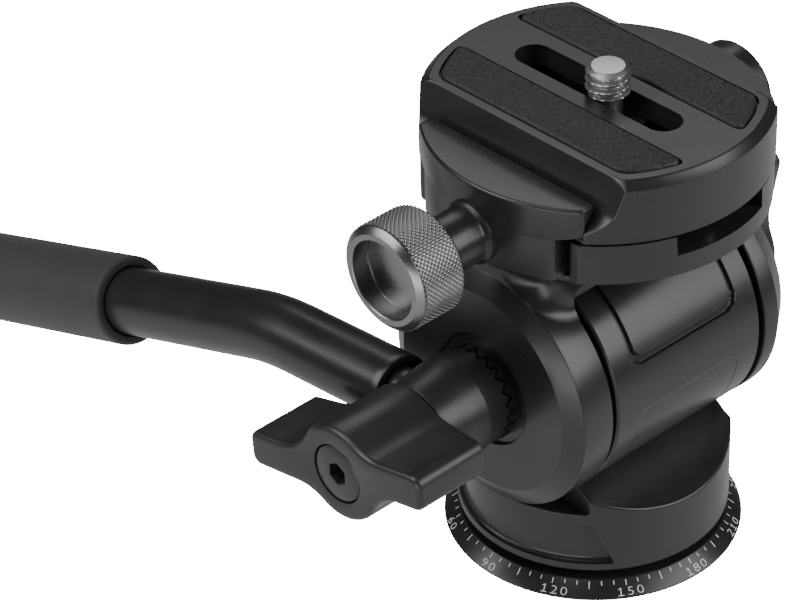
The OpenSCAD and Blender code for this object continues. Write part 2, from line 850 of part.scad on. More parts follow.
module clamp_nut() {
    color(black) on_clamp_axis() difference() {
        turned_x([
            [0, nut_end], [nut_r - nut_wall / 2, nut_end], [nut_r, nut_end + nut_wall / 2],
            [nut_r, -nut_seat], [0, -nut_seat]
        ]);
        rod_x(clamp_screw_r + run_gap, nut_end + nut_wall, far);
    }
}

module guide_places() {
    for (s = [-1, 1]) translate([0, s * guide_pitch / 2, clamp_axis_z]) children();
}

module jaw_guide_pins() {
    color(steel) guide_places() rod_x(guide_r, guide_x0, guide_x1);
}

module jaw_springs() {
    color(steel) guide_places() difference() {
        rod_x(spring_r, jaw_seat_x - spring_seat, jaw_seat_x + jaw_end_gap - slide_gap);
        rod_x(spring_bore_r, 0, far);
    }
}

module moving_jaw() {
    foot_x = jaw_seat_x + jaw_end_gap;
    color(black) difference() {
        intersection() {
            translate([0, 0, clamp_z + jaw_foot]) cylinder(r = clamp_r, h = lip_z - clamp_z - jaw_foot);
            union() {
                translate([foot_x, -jaw_y, 0]) cube([far, jaw_l, clamp_top - slide_gap]);
                carry_y(jaw_l) lip_outline(clamp_top - past, jaw_gap);
                carry_y(lip_l) lip_outline(clamp_top + lip_under, jaw_gap);
            }
        }
        on_clamp_axis() rod_x(clamp_screw_r + pass_gap, 0, far);
        on_clamp_axis() rod_x(neck_flange_r + press_gap, neck_seat, far);
        guide_places() rod_x(guide_r + run_gap, 0, guide_x1 + past);
    }
}

module knob_collar() {
    color(black) on_clamp_axis() difference() {
        turned_x([
            [0, neck_seat], [neck_flange_r, neck_seat], [neck_flange_r, neck_seat + neck_flange_t],
            [neck_r, neck_seat + 2 * neck_flange_t], [neck_r, neck_seat + neck_l], [0, neck_seat + neck_l]
        ]);
        rod_x(clamp_screw_r + pass_gap, 0, far);
    }
}

module clamp_knob() {
    color(titanium) on_clamp_axis() difference() {
        turned_x([
            [0, knob_x], [knob_r - knob_bevel / 2, knob_x], [knob_r, knob_x + knob_bevel / 2],
            [knob_r, knob_end - knob_bevel], [knob_r - knob_bevel, knob_end], [0, knob_end]
        ]);
        rod_x(knob_cup_r, knob_end - knob_cup_depth, far);
        rod_x(clamp_screw_r + press_gap, 0, far);
    }
}

module clamp_screw() {
    color(steel) on_clamp_axis()
        rod_x(clamp_screw_r, nut_end + nut_wall + slide_gap, knob_end - knob_cup_depth);
}

// The plate's profile across its dovetail, seen along Y
module plate_outline() {
    x = plate_w / 2;
    foot = dovetail_w / 2;
    right = [[foot, plate_z], [foot, edge_z], [flank_x, flank_z], [x, flank_z + flat_rise], [x, plate_top]];
    left = [for (i = [len(right) - 1 : -1 : 0]) [-right[i].x, right[i].y]];
    polygon(concat(right, left));
}

// One pad's space: its place on the right or the left, its growth and its height
module pad_block(side, grow, h) {
    x0 = pad_gap / 2 - grow;
    translate([0, 0, pad_floor]) intersection() {
        cylinder(r = pad_end_r + grow, h = h);
        translate([side > 0 ? x0 : -x0 - pad_w - 2 * grow, -far / 2, 0]) cube([pad_w + 2 * grow, far, h]);
    }
}

module quick_release_plate() {
    color(black) difference() {
        intersection() {
            rotate_extrude() polygon([
                [0, plate_z], [plate_r, plate_z], [plate_r, plate_top - plate_bevel],
                [plate_r - plate_bevel, plate_top], [0, plate_top]
            ]);
            carry_y(3 * plate_r) plate_outline();
        }
        translate([0, 0, plate_z - past]) slot(slot_w, slot_end, far);
        translate([0, 0, plate_z - past]) slot(well_w, slot_end, well_depth + past);
        for (side = [-1, 1]) pad_block(side, pad_fit, far);
        stop_places() translate([0, 0, plate_z - past])
            cylinder(r = stop_r + press_gap, h = stop_grip + past);
    }
}

module pad_right() {
    color(rubber_black) pad_block(1, 0, pad_t);
}

module pad_left() {
    color(rubber_black) pad_block(-1, 0, pad_t);
}

module stop_places() {
    for (s = [-1, 1]) translate([0, s * stop_y, 0]) children();
}

module plate_stop_pins() {
    color(steel) stop_places() translate([0, 0, plate_z - stop_drop])
        cylinder(r = stop_r, h = stop_drop + stop_grip);
}

module screw_washer() {
    color(soft_black) translate([0, screw_y, washer_z]) ring(washer_bore_r, screw_head_r, washer_t);
}

module camera_screw() {
    color(steel) translate([0, screw_y, 0]) difference() {
        rotate_extrude() polygon([
            [0, head_top - screw_head_h], [screw_head_r, head_top - screw_head_h], [screw_head_r, head_top],
            [waist_r, head_top], [waist_r, waist_top], [screw_r, waist_top],
            [screw_r, screw_top - screw_bevel], [screw_r - screw_bevel, screw_top], [0, screw_top]
        ]);
        translate([-far / 2, -coin_slot_w / 2, head_top - screw_head_h - past])
            cube([far, coin_slot_w, coin_slot_depth + past]);
    }
}

module handle_hub() {
    color(soft_black) difference() {
        union() {
            on_tilt_axis() turned_x([
                [0, hub_x], [rosette_r, hub_x], [rosette_r, hub_x + hub_nose_l],
                [hub_r, hub_x + hub_nose_l + hub_flare_l], [hub_r, hub_end], [0, hub_end]
            ]);
            translate([hub_x, 0, tilt_z]) rotate([90, 0, -90]) face_teeth(180 - 180 / tooth_count - tooth_turn);
        }
        on_tilt_axis() rod_x(hub_bore_r, 0, far);
        along_bar() translate([0, 0, spigot_seat]) cylinder(r = bar_bore_r, h = far);
    }
}

module bar_spigot() {
    color(steel) along_bar() translate([0, 0, spigot_seat])
        cylinder(r = bar_bore_r - press_gap, h = spigot_l);
}

// The bar as a solid of one radius: two straight runs and the bend between them.
// The second run is a hair wider, so that it takes in the end of the bend.
module bar_solid(r, start, stop) {
    along_bar() translate([0, 0, start]) cylinder(r = r, h = bar_reach - bend_tangent - start);
    along_bar() translate([0, -bend_r, bar_reach - bend_tangent]) rotate([90, 0, 90])
        rotate_extrude(angle = bar_bend) translate([bend_r, 0]) circle(r);
    along_grip() translate([0, 0, bend_tangent - bend_lap])
        cylinder(r = r + bend_swell, h = stop - bend_tangent + bend_lap);
}

module pan_bar() {
    color(black) difference() {
        bar_solid(bar_r, bar_start, grip_start + grip_l - tube_stop);
        bar_solid(bar_bore_r, bar_start - past, grip_start + grip_l);
    }
}

module grip() {
    end_round = 3;
    mouth_round = 2;
    color(soft_black) along_grip() translate([0, 0, grip_start]) difference() {
        rotate_extrude() union() {
            translate([0, mouth_round]) square([grip_r, grip_l - mouth_round - end_round]);
            square([grip_r - mouth_round, grip_l]);
            translate([0, grip_l - end_round - past]) square([grip_r - end_round, end_round + past]);
            intersection() {
                union() {
                    translate([grip_r - mouth_round, mouth_round]) circle(mouth_round);
                    translate([grip_r - end_round, grip_l - end_round]) circle(end_round);
                }
                square([far, far * 2]);
            }
        }
        translate([0, 0, -past])
            cylinder(r = bar_r + bend_swell + press_gap, h = grip_l - tube_stop + past + press_gap);
    }
}

module wing_knob() {
    color(black) at_right(wing_x, wing_turn) wing_body(wing_t);
}

module wing_bolt() {
    color(black) at_right(wing_x, wing_turn) wing_bolt_body(wing_t, wing_x - recess_x + bolt_grip - past);
}

module wing_washer() {
    color(nylon) at_right(hub_end + slide_gap) ring(hub_bore_r, wing_washer_r, wing_washer_t);
}

module lock_wing() {
    color(black) at_left(lock_x, lock_turn) wing_body(lock_t);
}

module lock_bolt() {
    color(black) at_left(lock_x, lock_turn) wing_bolt_body(lock_t, lock_x - face_x + bolt_grip - past);
}

base_ring();
socket_insert();
pan_thrust_washer();
pan_retainer();
pan_retainer_screws();
pan_body();
pan_bush();
pan_upper_washer();
barrel_cover();
cover_screws();
tilt_bush_right();
tilt_bush_left();
stator_discs();
tilt_yoke();
tilt_shaft();
rotor_discs();
cheek_washers();
rosette_ring();
lock_washer();
clamp_base();
clamp_base_screws();
clamp_nut();
jaw_guide_pins();
jaw_springs();
moving_jaw();
knob_collar();
clamp_knob();
clamp_screw();
quick_release_plate();
pad_right();
pad_left();
plate_stop_pins();
screw_washer();
camera_screw();
handle_hub();
bar_spigot();
pan_bar();
grip();
wing_knob();
wing_bolt();
wing_washer();
lock_wing();
lock_bolt();
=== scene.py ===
# %% [markdown]
# # A fluid video head
#
# This notebook dresses the CAD model of a small pan and tilt head for a video camera. The CAD
# pieces give every place and size. Each cell below makes one piece or one finish, rides it on the
# CAD body that carries it, and says why it is made that way. Sizes are in millimetres and become
# metres only when a mesh is written.

import json
import math

import bmesh
import bpy
import numpy as np
from mathutils import Matrix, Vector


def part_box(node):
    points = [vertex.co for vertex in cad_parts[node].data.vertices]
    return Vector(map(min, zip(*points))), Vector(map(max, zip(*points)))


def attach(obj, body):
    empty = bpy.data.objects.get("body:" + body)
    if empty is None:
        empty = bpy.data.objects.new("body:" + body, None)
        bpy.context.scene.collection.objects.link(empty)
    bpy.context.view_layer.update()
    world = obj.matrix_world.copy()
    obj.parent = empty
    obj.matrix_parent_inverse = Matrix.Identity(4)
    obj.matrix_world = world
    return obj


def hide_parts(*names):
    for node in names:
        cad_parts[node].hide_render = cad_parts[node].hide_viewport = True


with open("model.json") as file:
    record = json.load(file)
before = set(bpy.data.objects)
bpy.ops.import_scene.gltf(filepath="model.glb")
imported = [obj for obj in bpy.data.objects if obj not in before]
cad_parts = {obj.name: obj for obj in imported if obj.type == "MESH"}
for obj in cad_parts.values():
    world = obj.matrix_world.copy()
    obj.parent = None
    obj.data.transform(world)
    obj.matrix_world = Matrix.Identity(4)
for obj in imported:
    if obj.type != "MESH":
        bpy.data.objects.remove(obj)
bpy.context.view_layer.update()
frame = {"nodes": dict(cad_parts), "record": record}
MM = 0.001
record = frame["record"]
SLOT = {part["node"]: part["material_slot"] for part in record["subparts"]}
BODY = {node: body for body, nodes in record["behaviour"]["bodies"].items() for node in nodes}


def node_box(node):
    """The lowest and the highest corner of a CAD node, in millimetres."""
    low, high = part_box(node)
    return np.array(low) / MM, np.array(high) / MM


# %% [markdown]
# ## Grids, turned shapes and carried outlines
#
# A machined part is mostly profiles that are turned round an axis and outlines that are carried
# along one. Blender's Screw modifier and its Extrude tool make both, but a knurl, a thread or a
# groove needs a formula for every point, so a shape here is a grid: rows along the profile and
# columns round the axis. The points of a grid are worked out as whole arrays, and one helper joins
# neighbouring rows and columns with quads. A shape that meets itself is merged there, and its
# normals are turned outwards.

# %% Helpers that make a mesh from a grid
MERGE = 1e-7
SHARP = math.radians(35)


def smooth(mesh):
    """Shades a mesh as one smooth skin that breaks only at its sharp edges."""
    mesh.shade_smooth()
    mesh.set_sharp_from_angle(angle=SHARP)


def quads(rows, cols, wrap_rows):
    """Corner numbers of the quads of a grid whose columns close into a ring, and whose rows may too."""
    row, col = np.meshgrid(np.arange(rows if wrap_rows else rows - 1), np.arange(cols), indexing="ij")
    row, col = row.ravel(), col.ravel()
    next_row, next_col = (row + 1) % rows, (col + 1) % cols
    return np.stack([row * cols + col, row * cols + next_col,
                     next_row * cols + next_col, next_row * cols + col], 1).tolist()


def piece_from(name, points, faces):
    """A new object at the origin, from points in millimetres and the faces between them."""
    mesh = bpy.data.meshes.new(name)
    mesh.from_pydata((np.asarray(points).reshape(-1, 3) * MM).tolist(), [], faces)
    shape = bmesh.new()
    shape.from_mesh(mesh)
    bmesh.ops.remove_doubles(shape, verts=shape.verts, dist=MERGE)
    bmesh.ops.recalc_face_normals(shape, faces=shape.faces)
    shape.to_mesh(mesh)
    shape.free()
    smooth(mesh)
    piece = bpy.data.objects.new(name, mesh)
    bpy.context.scene.collection.objects.link(piece)
    return piece


print("quads of a tube of 3 rows and 8 columns:", len(quads(3, 8, False)))

# %% Skins, turned shapes and carried outlines
ROUND_COLS = 128


def shell(name, grid, ring=False):
    """A closed skin over a grid: its rows join up in a ring, or one face closes each end."""
    rows, cols = grid.shape[:2]
    faces = quads(rows, cols, ring)
    if not ring:
        faces += [list(range(cols)), list(range((rows - 1) * cols, rows * cols))]
    return piece_from(name, grid, faces)


def turned(name, profile, axis, centre=(0, 0, 0), cols=ROUND_COLS, ring=False):
    """A profile of (radius, place) rows carried round an axis: radius times (cos, sin), at its place."""
    turn = np.linspace(0, 2 * np.pi, cols, endpoint=False)
    profile = np.asarray(profile, float)
    if profile.ndim == 2:
        profile = profile[:, None, :]
    radius, place = profile[..., 0], profile[..., 1]
    parts = [place + 0 * turn, radius * np.cos(turn), radius * np.sin(turn)]
    order = {"x": (0, 1, 2), "z": (1, 2, 0)}[axis]
    return shell(name, np.stack([parts[i] for i in order], -1) + np.array(centre), ring)


def carried(name, outline, start, stop, axis):
    """An outline carried straight along an axis: (y, z) along x, or (x, z) along y, or (x, y) along z."""
    outline = np.asarray(outline, float)
    rows = [np.insert(outline, "xyz".index(axis), place, axis=1) for place in (start, stop)]
    return shell(name, np.stack(rows))


print("columns round a turned shape:", ROUND_COLS)

# %% Helpers that draw outlines and profiles
# An arc takes less than half of a side. A reach below SHORT, or half a corner above STRAIGHT (in radians),
# gets no arc
SIDE_SHARE = 0.49
SHORT, STRAIGHT = 1e-6, 1.55


def arc(centre, radius, start, stop, steps):
    """Points on a circle between two angles in degrees."""
    angle = np.radians(np.linspace(start, stop, steps))
    return np.stack([centre[0] + radius * np.cos(angle), centre[1] + radius * np.sin(angle)], 1)


def rounded(corners, radii, steps=5, closed=False):
    """Straight sides with round corners: each arc touches both sides at r / tan(half the corner)."""
    corners = np.asarray(corners, float)
    count = len(corners)
    radii = np.broadcast_to(radii, count)
    path = []
    for i, corner in enumerate(corners):
        if not closed and i in (0, count - 1):
            path.append(corner[None])
            continue
        back, ahead = corners[i - 1] - corner, corners[(i + 1) % count] - corner
        room = SIDE_SHARE * min(np.linalg.norm(back), np.linalg.norm(ahead))
        back, ahead = back / np.linalg.norm(back), ahead / np.linalg.norm(ahead)
        half = np.arccos(np.clip(back @ ahead, -1, 1)) / 2
        reach = min(radii[i] / np.tan(half), room)
        if reach < SHORT or half > STRAIGHT:
            path.append(corner[None])
            continue
        middle = (back + ahead) / np.linalg.norm(back + ahead)
        centre = corner + middle * reach / np.cos(half)
        sweep = np.pi - 2 * half
        share = np.linspace(0, 1, steps + 1)[:, None]
        first, last = corner + back * reach - centre, corner + ahead * reach - centre
        spoke = np.sin((1 - share) * sweep) * first + np.sin(share * sweep) * last
        path.append(centre + spoke / np.sin(sweep))
    return np.vstack(path)


def bearing(vector):
    """The angle of a vector, in degrees."""
    return math.degrees(math.atan2(vector[1], vector[0]))


def ramp(value, start, stop):
    """0 before start, 1 after stop, and a smooth rise between them."""
    share = np.clip((value - start) / (stop - start), 0, 1)
    return share * share * (3 - 2 * share)


SQUARE = [(0, 0), (4, 0), (4, 4), (0, 4)]
print("points of a square with round corners:", len(rounded(SQUARE, 1, closed=True)))

# %% [markdown]
# ## Cutting and softening
#
# Where two forms cross, such as a jaw between a cylinder and a dovetail, the real part is milled. A
# Boolean does the same. The result is baked into the mesh at once, so that no cutter stays in the
# scene, and a Bevel then breaks each edge. Hardly any real edge is sharp, and the thin bright line
# along it is what makes metal look like metal.

# %% Helpers that cut
def bake(piece):
    """Puts the result of the piece's modifiers into its mesh."""
    before = piece.data
    piece.data = bpy.data.meshes.new_from_object(piece.evaluated_get(bpy.context.evaluated_depsgraph_get()))
    piece.modifiers.clear()
    bpy.data.meshes.remove(before)


def carve(piece, *tools, how="DIFFERENCE"):
    """Cuts the tools from the piece, adds them, or keeps what they share with it, and uses them up."""
    for tool in tools:
        cut = piece.modifiers.new("carve", "BOOLEAN")
        cut.operation = how
        cut.solver = "EXACT"
        cut.object = tool
        bake(piece)
        bpy.data.objects.remove(tool)
    return piece


# %% Helpers that soften
FLAT = math.radians(0.4)
CLOSE = 5e-6


def gathered(items, label, shape, kind=float):
    """One property of all points, edges, corners or faces of a mesh, as an array."""
    values = np.empty(shape, kind)
    items.foreach_get(label, values.ravel())
    return values


def edge_turns(mesh):
    """The angle between each edge's two faces, or 0 where it has not two, and the height of its lower end.

    The corners of all faces are sorted by edge, so the two faces of an edge stand next to each other, and the
    angle is the arc cosine of the product of their normals.
    """
    sizes = gathered(mesh.polygons, "loop_total", len(mesh.polygons), np.int32)
    edges = gathered(mesh.loops, "edge_index", len(mesh.loops), np.int32)
    order = np.argsort(edges, kind="stable")
    normal = gathered(mesh.polygons, "normal", (len(mesh.polygons), 3))
    normal = np.repeat(normal, sizes, axis=0)[order]
    uses = np.bincount(edges, minlength=len(mesh.edges))
    first = np.minimum(np.cumsum(uses) - uses, len(edges) - 2)
    turn = np.arccos(np.clip((normal[first] * normal[first + 1]).sum(1), -1, 1))
    heights = gathered(mesh.vertices, "co", (len(mesh.vertices), 3))[:, 2]
    ends = gathered(mesh.edges, "vertices", (len(mesh.edges), 2), np.int32)
    return np.where(uses == 2, turn, 0), heights[ends].min(1)


def soften(piece, width, segments=3, angle=28, weld=0.005, above=-1000, clamped=True):
    """Rounds each edge above a height whose two faces turn by more than an angle.

    Close points and flat faces are merged first. A clamped bevel is never wider than the shortest side it
    meets, so slivers shorter than the weld are taken out too.
    """
    shape = bmesh.new()
    shape.from_mesh(piece.data)
    bmesh.ops.remove_doubles(shape, verts=shape.verts, dist=CLOSE)
    bmesh.ops.dissolve_limit(shape, angle_limit=FLAT, verts=shape.verts, edges=shape.edges)
    bmesh.ops.dissolve_degenerate(shape, edges=shape.edges, dist=weld * MM)
    shape.to_mesh(piece.data)
    shape.free()
    turn, height = edge_turns(piece.data)
    chosen = piece.data.attributes.new("bevel_weight_edge", "FLOAT", "EDGE")
    chosen.data.foreach_set("value", ((turn > math.radians(angle)) & (height > above * MM)).astype(float))
    piece.data.shade_smooth()
    edge = piece.modifiers.new("broken_edge", "BEVEL")
    edge.width = width * MM
    edge.segments = segments
    edge.use_clamp_overlap = clamped
    edge.limit_method = "WEIGHT"
    edge.miter_outer = "MITER_ARC"
    edge.harden_normals = True
    return piece


print("faces that turn by less than this are merged, in degrees:", round(math.degrees(FLAT), 2))


# %% A helper that puts a piece in place
def stand_for(piece, node, finish=None, hide=True):
    """Puts a piece in a node's place: on its body, with its slot's finish or a given one."""
    piece.data.materials.clear()
    piece.data.materials.append(finish or FINISH[SLOT[node]])
    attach(piece, BODY[node])
    if hide:
        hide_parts(node)
    return piece


print("CAD pieces to dress:", len(SLOT))

# %% [markdown]
# ## The photograph's view
#
# A camera can be placed by eye, but circles seen at a slant fix it much better. This one was solved
# on the round plate, the dial and the cheek, and its optical axis passes through the middle of the
# picture, so it needs no lens shift. It looks down steeply from the front, on the pan bar's side.

# %% Camera
PHOTO_WIDTH = 800
SENSOR = 36
FOCAL_PIXELS = 3711.5
CAMERA_AT = (314.69, 299.76, 341.42)
CAMERA_AZIMUTH = 47.282
CAMERA_ELEVATION = 34.96
CAMERA_ROLL = -1.405
CLIP_START = 0.01


def look_from(azimuth, elevation):
    """Unit vectors right, up and back for a camera that looks at the origin from two angles in degrees."""
    a, e = math.radians(azimuth), math.radians(elevation)
    back = np.array([math.cos(e) * math.cos(a), math.cos(e) * math.sin(a), math.sin(e)])
    right = np.array([-math.sin(a), math.cos(a), 0])
    return right, np.cross(back, right), back


def rotation_of(right, up, back):
    """Euler angles of an object whose own axes are these three."""
    return Matrix(np.stack([right, up, back], 1).tolist()).to_euler()


right, up, back = look_from(CAMERA_AZIMUTH, CAMERA_ELEVATION)
roll = math.radians(CAMERA_ROLL)
right, up = right * math.cos(roll) + up * math.sin(roll), up * math.cos(roll) - right * math.sin(roll)
camera = bpy.data.objects.new("camera", bpy.data.cameras.new("camera"))
camera.data.sensor_width = SENSOR
camera.data.lens = FOCAL_PIXELS / PHOTO_WIDTH * SENSOR
camera.data.clip_start = CLIP_START
camera.location = np.array(CAMERA_AT) * MM
camera.rotation_euler = rotation_of(right, up, back)
bpy.context.scene.collection.objects.link(camera)
bpy.context.scene.camera = camera
print("lens in mm:", round(camera.data.lens, 1))

# %% [markdown]
# ## Floor and light
#
# The pan bar reaches below the foot, as it does over a tripod, so the head hangs on its socket and
# the floor lies low enough for the bar's whole swing. Black satin metal shows its form only through
# what it mirrors. A bright world would grey it all over, so large soft lights do the work: one on
# the left for the wings and the collar, a stronger one on the right for the barrel, and weak ones
# above, behind and low in front that keep the tops and the shadows readable.

# %% Stage
FLOOR_Z, FLOOR_T = -150, 5
FLOOR_HALF = 40000
FLOOR_TINT, FLOOR_ROUGHNESS, FLOOR_GLOW = (0.85, 0.85, 0.85), 0.9, 25


def pale(name, tint, glow):
    """A pale matte surface whose glow only the camera sees, so that it stays white behind the head."""
    material = bpy.data.materials.new(name)
    material.use_nodes = True
    nodes, links = material.node_tree.nodes, material.node_tree.links
    surface = nodes["Principled BSDF"]
    surface.inputs["Base Color"].default_value = (*tint, 1)
    surface.inputs["Roughness"].default_value = FLOOR_ROUGHNESS
    seen = nodes.new("ShaderNodeLightPath")
    light = nodes.new("ShaderNodeEmission")
    light.inputs["Strength"].default_value = glow
    both = nodes.new("ShaderNodeMixShader")
    links.new(seen.outputs["Is Camera Ray"], both.inputs["Fac"])
    links.new(surface.outputs[0], both.inputs[1])
    links.new(light.outputs[0], both.inputs[2])
    links.new(both.outputs[0], nodes["Material Output"].inputs["Surface"])
    return material


floor_outline = FLOOR_HALF * np.array([(-1, -1), (1, -1), (1, 1), (-1, 1)])
floor = carried("floor", floor_outline, FLOOR_Z - FLOOR_T, FLOOR_Z, "z")
floor.data.materials.append(pale("pale_floor", FLOOR_TINT, FLOOR_GLOW))
print("floor at mm:", FLOOR_Z)

# %% Lights
LIT_POINT = np.array([0, 0, 0.045])
WORLD_STRENGTH = 0.05
# Each light's azimuth and elevation in degrees, its distance, width and height in metres, and its watts
SOFTBOXES = {
    "left_light": (-32, 36, 0.8, 0.5, 0.5, 3.6),
    "low_light": (18, -5, 0.7, 0.6, 0.2, 1.5),
    "right_light": (114, 28, 0.8, 0.7, 0.55, 5.5),
    "rear_light": (228, 46, 0.8, 0.5, 0.35, 1.1),
    "top_light": (-10, 66, 0.8, 0.5, 0.3, 1.1),
}


def softbox(name, azimuth, elevation, distance, width, height, watts):
    """A rectangular soft light that faces the head, placed by angles round it and a distance in metres."""
    axes = look_from(azimuth, elevation)
    light = bpy.data.lights.new(name, "AREA")
    light.shape = "RECTANGLE"
    light.size, light.size_y, light.energy = width, height, watts
    lamp = bpy.data.objects.new(name, light)
    lamp.location = LIT_POINT + axes[2] * distance
    lamp.rotation_euler = rotation_of(*axes)
    bpy.context.scene.collection.objects.link(lamp)


for name, setting in SOFTBOXES.items():
    softbox(name, *setting)
world = bpy.data.worlds.new("studio")
world.use_nodes = True
background = world.node_tree.nodes["Background"]
background.inputs["Color"].default_value = (1, 1, 1, 1)
background.inputs["Strength"].default_value = WORLD_STRENGTH
bpy.context.scene.world = world
print("lights:", ", ".join(SOFTBOXES))

# %% [markdown]
# ## Finishes
#
# Almost everything here is black, so the finishes differ in how they take the light. Anodised metal
# is blasted first and keeps a fine grain under a satin sheen. Mouldings are a touch duller, rubber
# is matte and slightly lighter, and the pads are pebbled.
#
# A picture of each surface would have to be laid out on every mesh. Noise in Object coordinates
# fits any shape, so one node group gives a fine grain and a slow cloud of handling marks, and each
# finish sets its own sizes. The constant numbers sit on the shader itself, so that an export keeps
# them.

# %% Node groups that the finishes share
NOISE_DETAIL, WRINKLE_DETAIL = 3, 4


def make_group(name, inputs, outputs):
    """An empty shader group with float inputs and outputs, and its two end nodes."""
    tree = bpy.data.node_groups.new(name, "ShaderNodeTree")
    for label, value in inputs.items():
        tree.interface.new_socket(label, in_out="INPUT", socket_type="NodeSocketFloat").default_value = value
    for label in outputs:
        tree.interface.new_socket(label, in_out="OUTPUT", socket_type="NodeSocketFloat")
    return tree, tree.nodes.new("NodeGroupInput"), tree.nodes.new("NodeGroupOutput")


def per_metre(tree, given, label):
    """Turns a pattern's size in millimetres into a texture scale."""
    scale = tree.nodes.new("ShaderNodeMath")
    scale.operation = "DIVIDE"
    scale.inputs[0].default_value = 1 / MM
    tree.links.new(given.outputs[label], scale.inputs[1])
    return scale.outputs[0]


speckle, given, result = make_group("speckle", {"Grain mm": 0.12, "Cloud mm": 9}, ["Grain", "Cloud"])
place = speckle.nodes.new("ShaderNodeTexCoord")
for label in ("Grain", "Cloud"):
    noise = speckle.nodes.new("ShaderNodeTexNoise")
    noise.inputs["Detail"].default_value = NOISE_DETAIL
    speckle.links.new(place.outputs["Object"], noise.inputs["Vector"])
    speckle.links.new(per_metre(speckle, given, label + " mm"), noise.inputs["Scale"])
    speckle.links.new(noise.outputs["Fac"], result.inputs[label])

pebble, given, result = make_group("pebble", {"Pebble mm": 0.8}, ["Height"])
place = pebble.nodes.new("ShaderNodeTexCoord")
cells = pebble.nodes.new("ShaderNodeTexVoronoi")
cells.feature = "SMOOTH_F1"
wrinkle = pebble.nodes.new("ShaderNodeTexNoise")
wrinkle.inputs["Detail"].default_value = WRINKLE_DETAIL
total = pebble.nodes.new("ShaderNodeMath")
total.operation = "SUBTRACT"
for texture in (cells, wrinkle):
    pebble.links.new(place.outputs["Object"], texture.inputs["Vector"])
    pebble.links.new(per_metre(pebble, given, "Pebble mm"), texture.inputs["Scale"])
pebble.links.new(wrinkle.outputs["Fac"], total.inputs[0])
pebble.links.new(cells.outputs["Distance"], total.inputs[1])
pebble.links.new(total.outputs[0], result.inputs["Height"])
print("node groups:", speckle.name, "and", pebble.name)

# %% A finish
CLOUD_SPAN = (0.3, 0.7)
BLUE_SHARE = 1.03


def finish_of(name, shades, roughness, grain, cloud, bump, relief=None, **constants):
    """A finish that drifts between two shades and two roughnesses with the cloud, over a fine bump.

    The bump is the grain, or the height of another group where the surface has its own relief.
    """
    material = bpy.data.materials.new(name)
    material.use_nodes = True
    nodes, links = material.node_tree.nodes, material.node_tree.links
    surface = nodes["Principled BSDF"]
    for label, value in constants.items():
        surface.inputs[label.replace("_", " ")].default_value = value
    marks = nodes.new("ShaderNodeGroup")
    marks.node_tree = speckle
    marks.inputs["Grain mm"].default_value = grain
    marks.inputs["Cloud mm"].default_value = cloud
    shade = nodes.new("ShaderNodeMix")
    shade.data_type = "RGBA"
    shade.inputs["A"].default_value = (*shades[0], 1)
    shade.inputs["B"].default_value = (*shades[1], 1)
    dull = nodes.new("ShaderNodeMapRange")
    dull.inputs["From Min"].default_value, dull.inputs["From Max"].default_value = CLOUD_SPAN
    dull.inputs["To Min"].default_value, dull.inputs["To Max"].default_value = roughness
    height = nodes.new("ShaderNodeBump")
    height.inputs["Strength"].default_value, height.inputs["Distance"].default_value = bump
    links.new(marks.outputs["Cloud"], shade.inputs["Factor"])
    links.new(marks.outputs["Cloud"], dull.inputs["Value"])
    links.new(shade.outputs["Result"], surface.inputs["Base Color"])
    links.new(dull.outputs["Result"], surface.inputs["Roughness"])
    if relief:
        own = nodes.new("ShaderNodeGroup")
        own.node_tree = relief
        links.new(own.outputs["Height"], height.inputs["Height"])
    else:
        links.new(marks.outputs["Grain"], height.inputs["Height"])
    links.new(height.outputs["Normal"], surface.inputs["Normal"])
    return material


def grey(level):
    """A neutral colour with a breath of blue, as black anodising has."""
    return (level, level, level * BLUE_SHARE)


print("white under this tint:", grey(1))

# %% The finishes
# Two shades, two roughnesses, the sizes of the grain and the cloud in millimetres, and the bump's strength
# and height in metres
LOOKS = {
    "black_anodised": ((grey(0.016), grey(0.022)), (0.26, 0.33), 0.1, 9, (0.12, 1e-5)),
    "black_moulded": ((grey(0.018), grey(0.024)), (0.32, 0.4), 0.16, 7, (0.15, 2e-5)),
    "grey_anodised": ((grey(0.22), grey(0.27)), (0.26, 0.36), 0.08, 5, (0.1, 1e-5)),
    "steel": ((grey(0.5), grey(0.58)), (0.32, 0.4), 0.06, 4, (0.1, 1e-5)),
    "black_steel": ((grey(0.022), grey(0.03)), (0.3, 0.38), 0.08, 5, (0.1, 1e-5)),
    "bronze": (((0.5, 0.33, 0.16), (0.58, 0.4, 0.2)), (0.3, 0.42), 0.08, 4, (0.1, 1e-5)),
    "nylon": (((0.68, 0.66, 0.6), (0.74, 0.72, 0.67)), (0.45, 0.55), 0.2, 6, (0.1, 1e-5)),
    "pad_rubber": ((grey(0.013), grey(0.02)), (0.5, 0.6), 0.1, 5, (0.4, 6e-5)),
    "grip_rubber": ((grey(0.03), grey(0.036)), (0.58, 0.68), 0.12, 12, (0.2, 2e-5)),
    "dial_white": ((grey(0.86), grey(0.92)), (0.45, 0.55), 0.1, 3, (0.05, 1e-5)),
}
EXTRAS = {name: {"Metallic": 1.0} for name in ("grey_anodised", "steel", "bronze")}
EXTRAS["pad_rubber"] = {"relief": pebble}
EXTRAS["grip_rubber"] = {"Sheen_Weight": 0.1}
FINISH = {name: finish_of(name, *look, **EXTRAS.get(name, {})) for name, look in LOOKS.items()}
print("finishes:", ", ".join(FINISH))

# %% [markdown]
# ## Dial ring
#
# The foot is one ring off a lathe: a sloping band with the degree scale, and inside it the spindle
# on which the head pans. A cylinder with a Bevel would round all its edges alike, so the ring is a
# profile with its own arc at each corner, carried round the axis. The profile starts and ends on
# the axis, so the skin is closed.

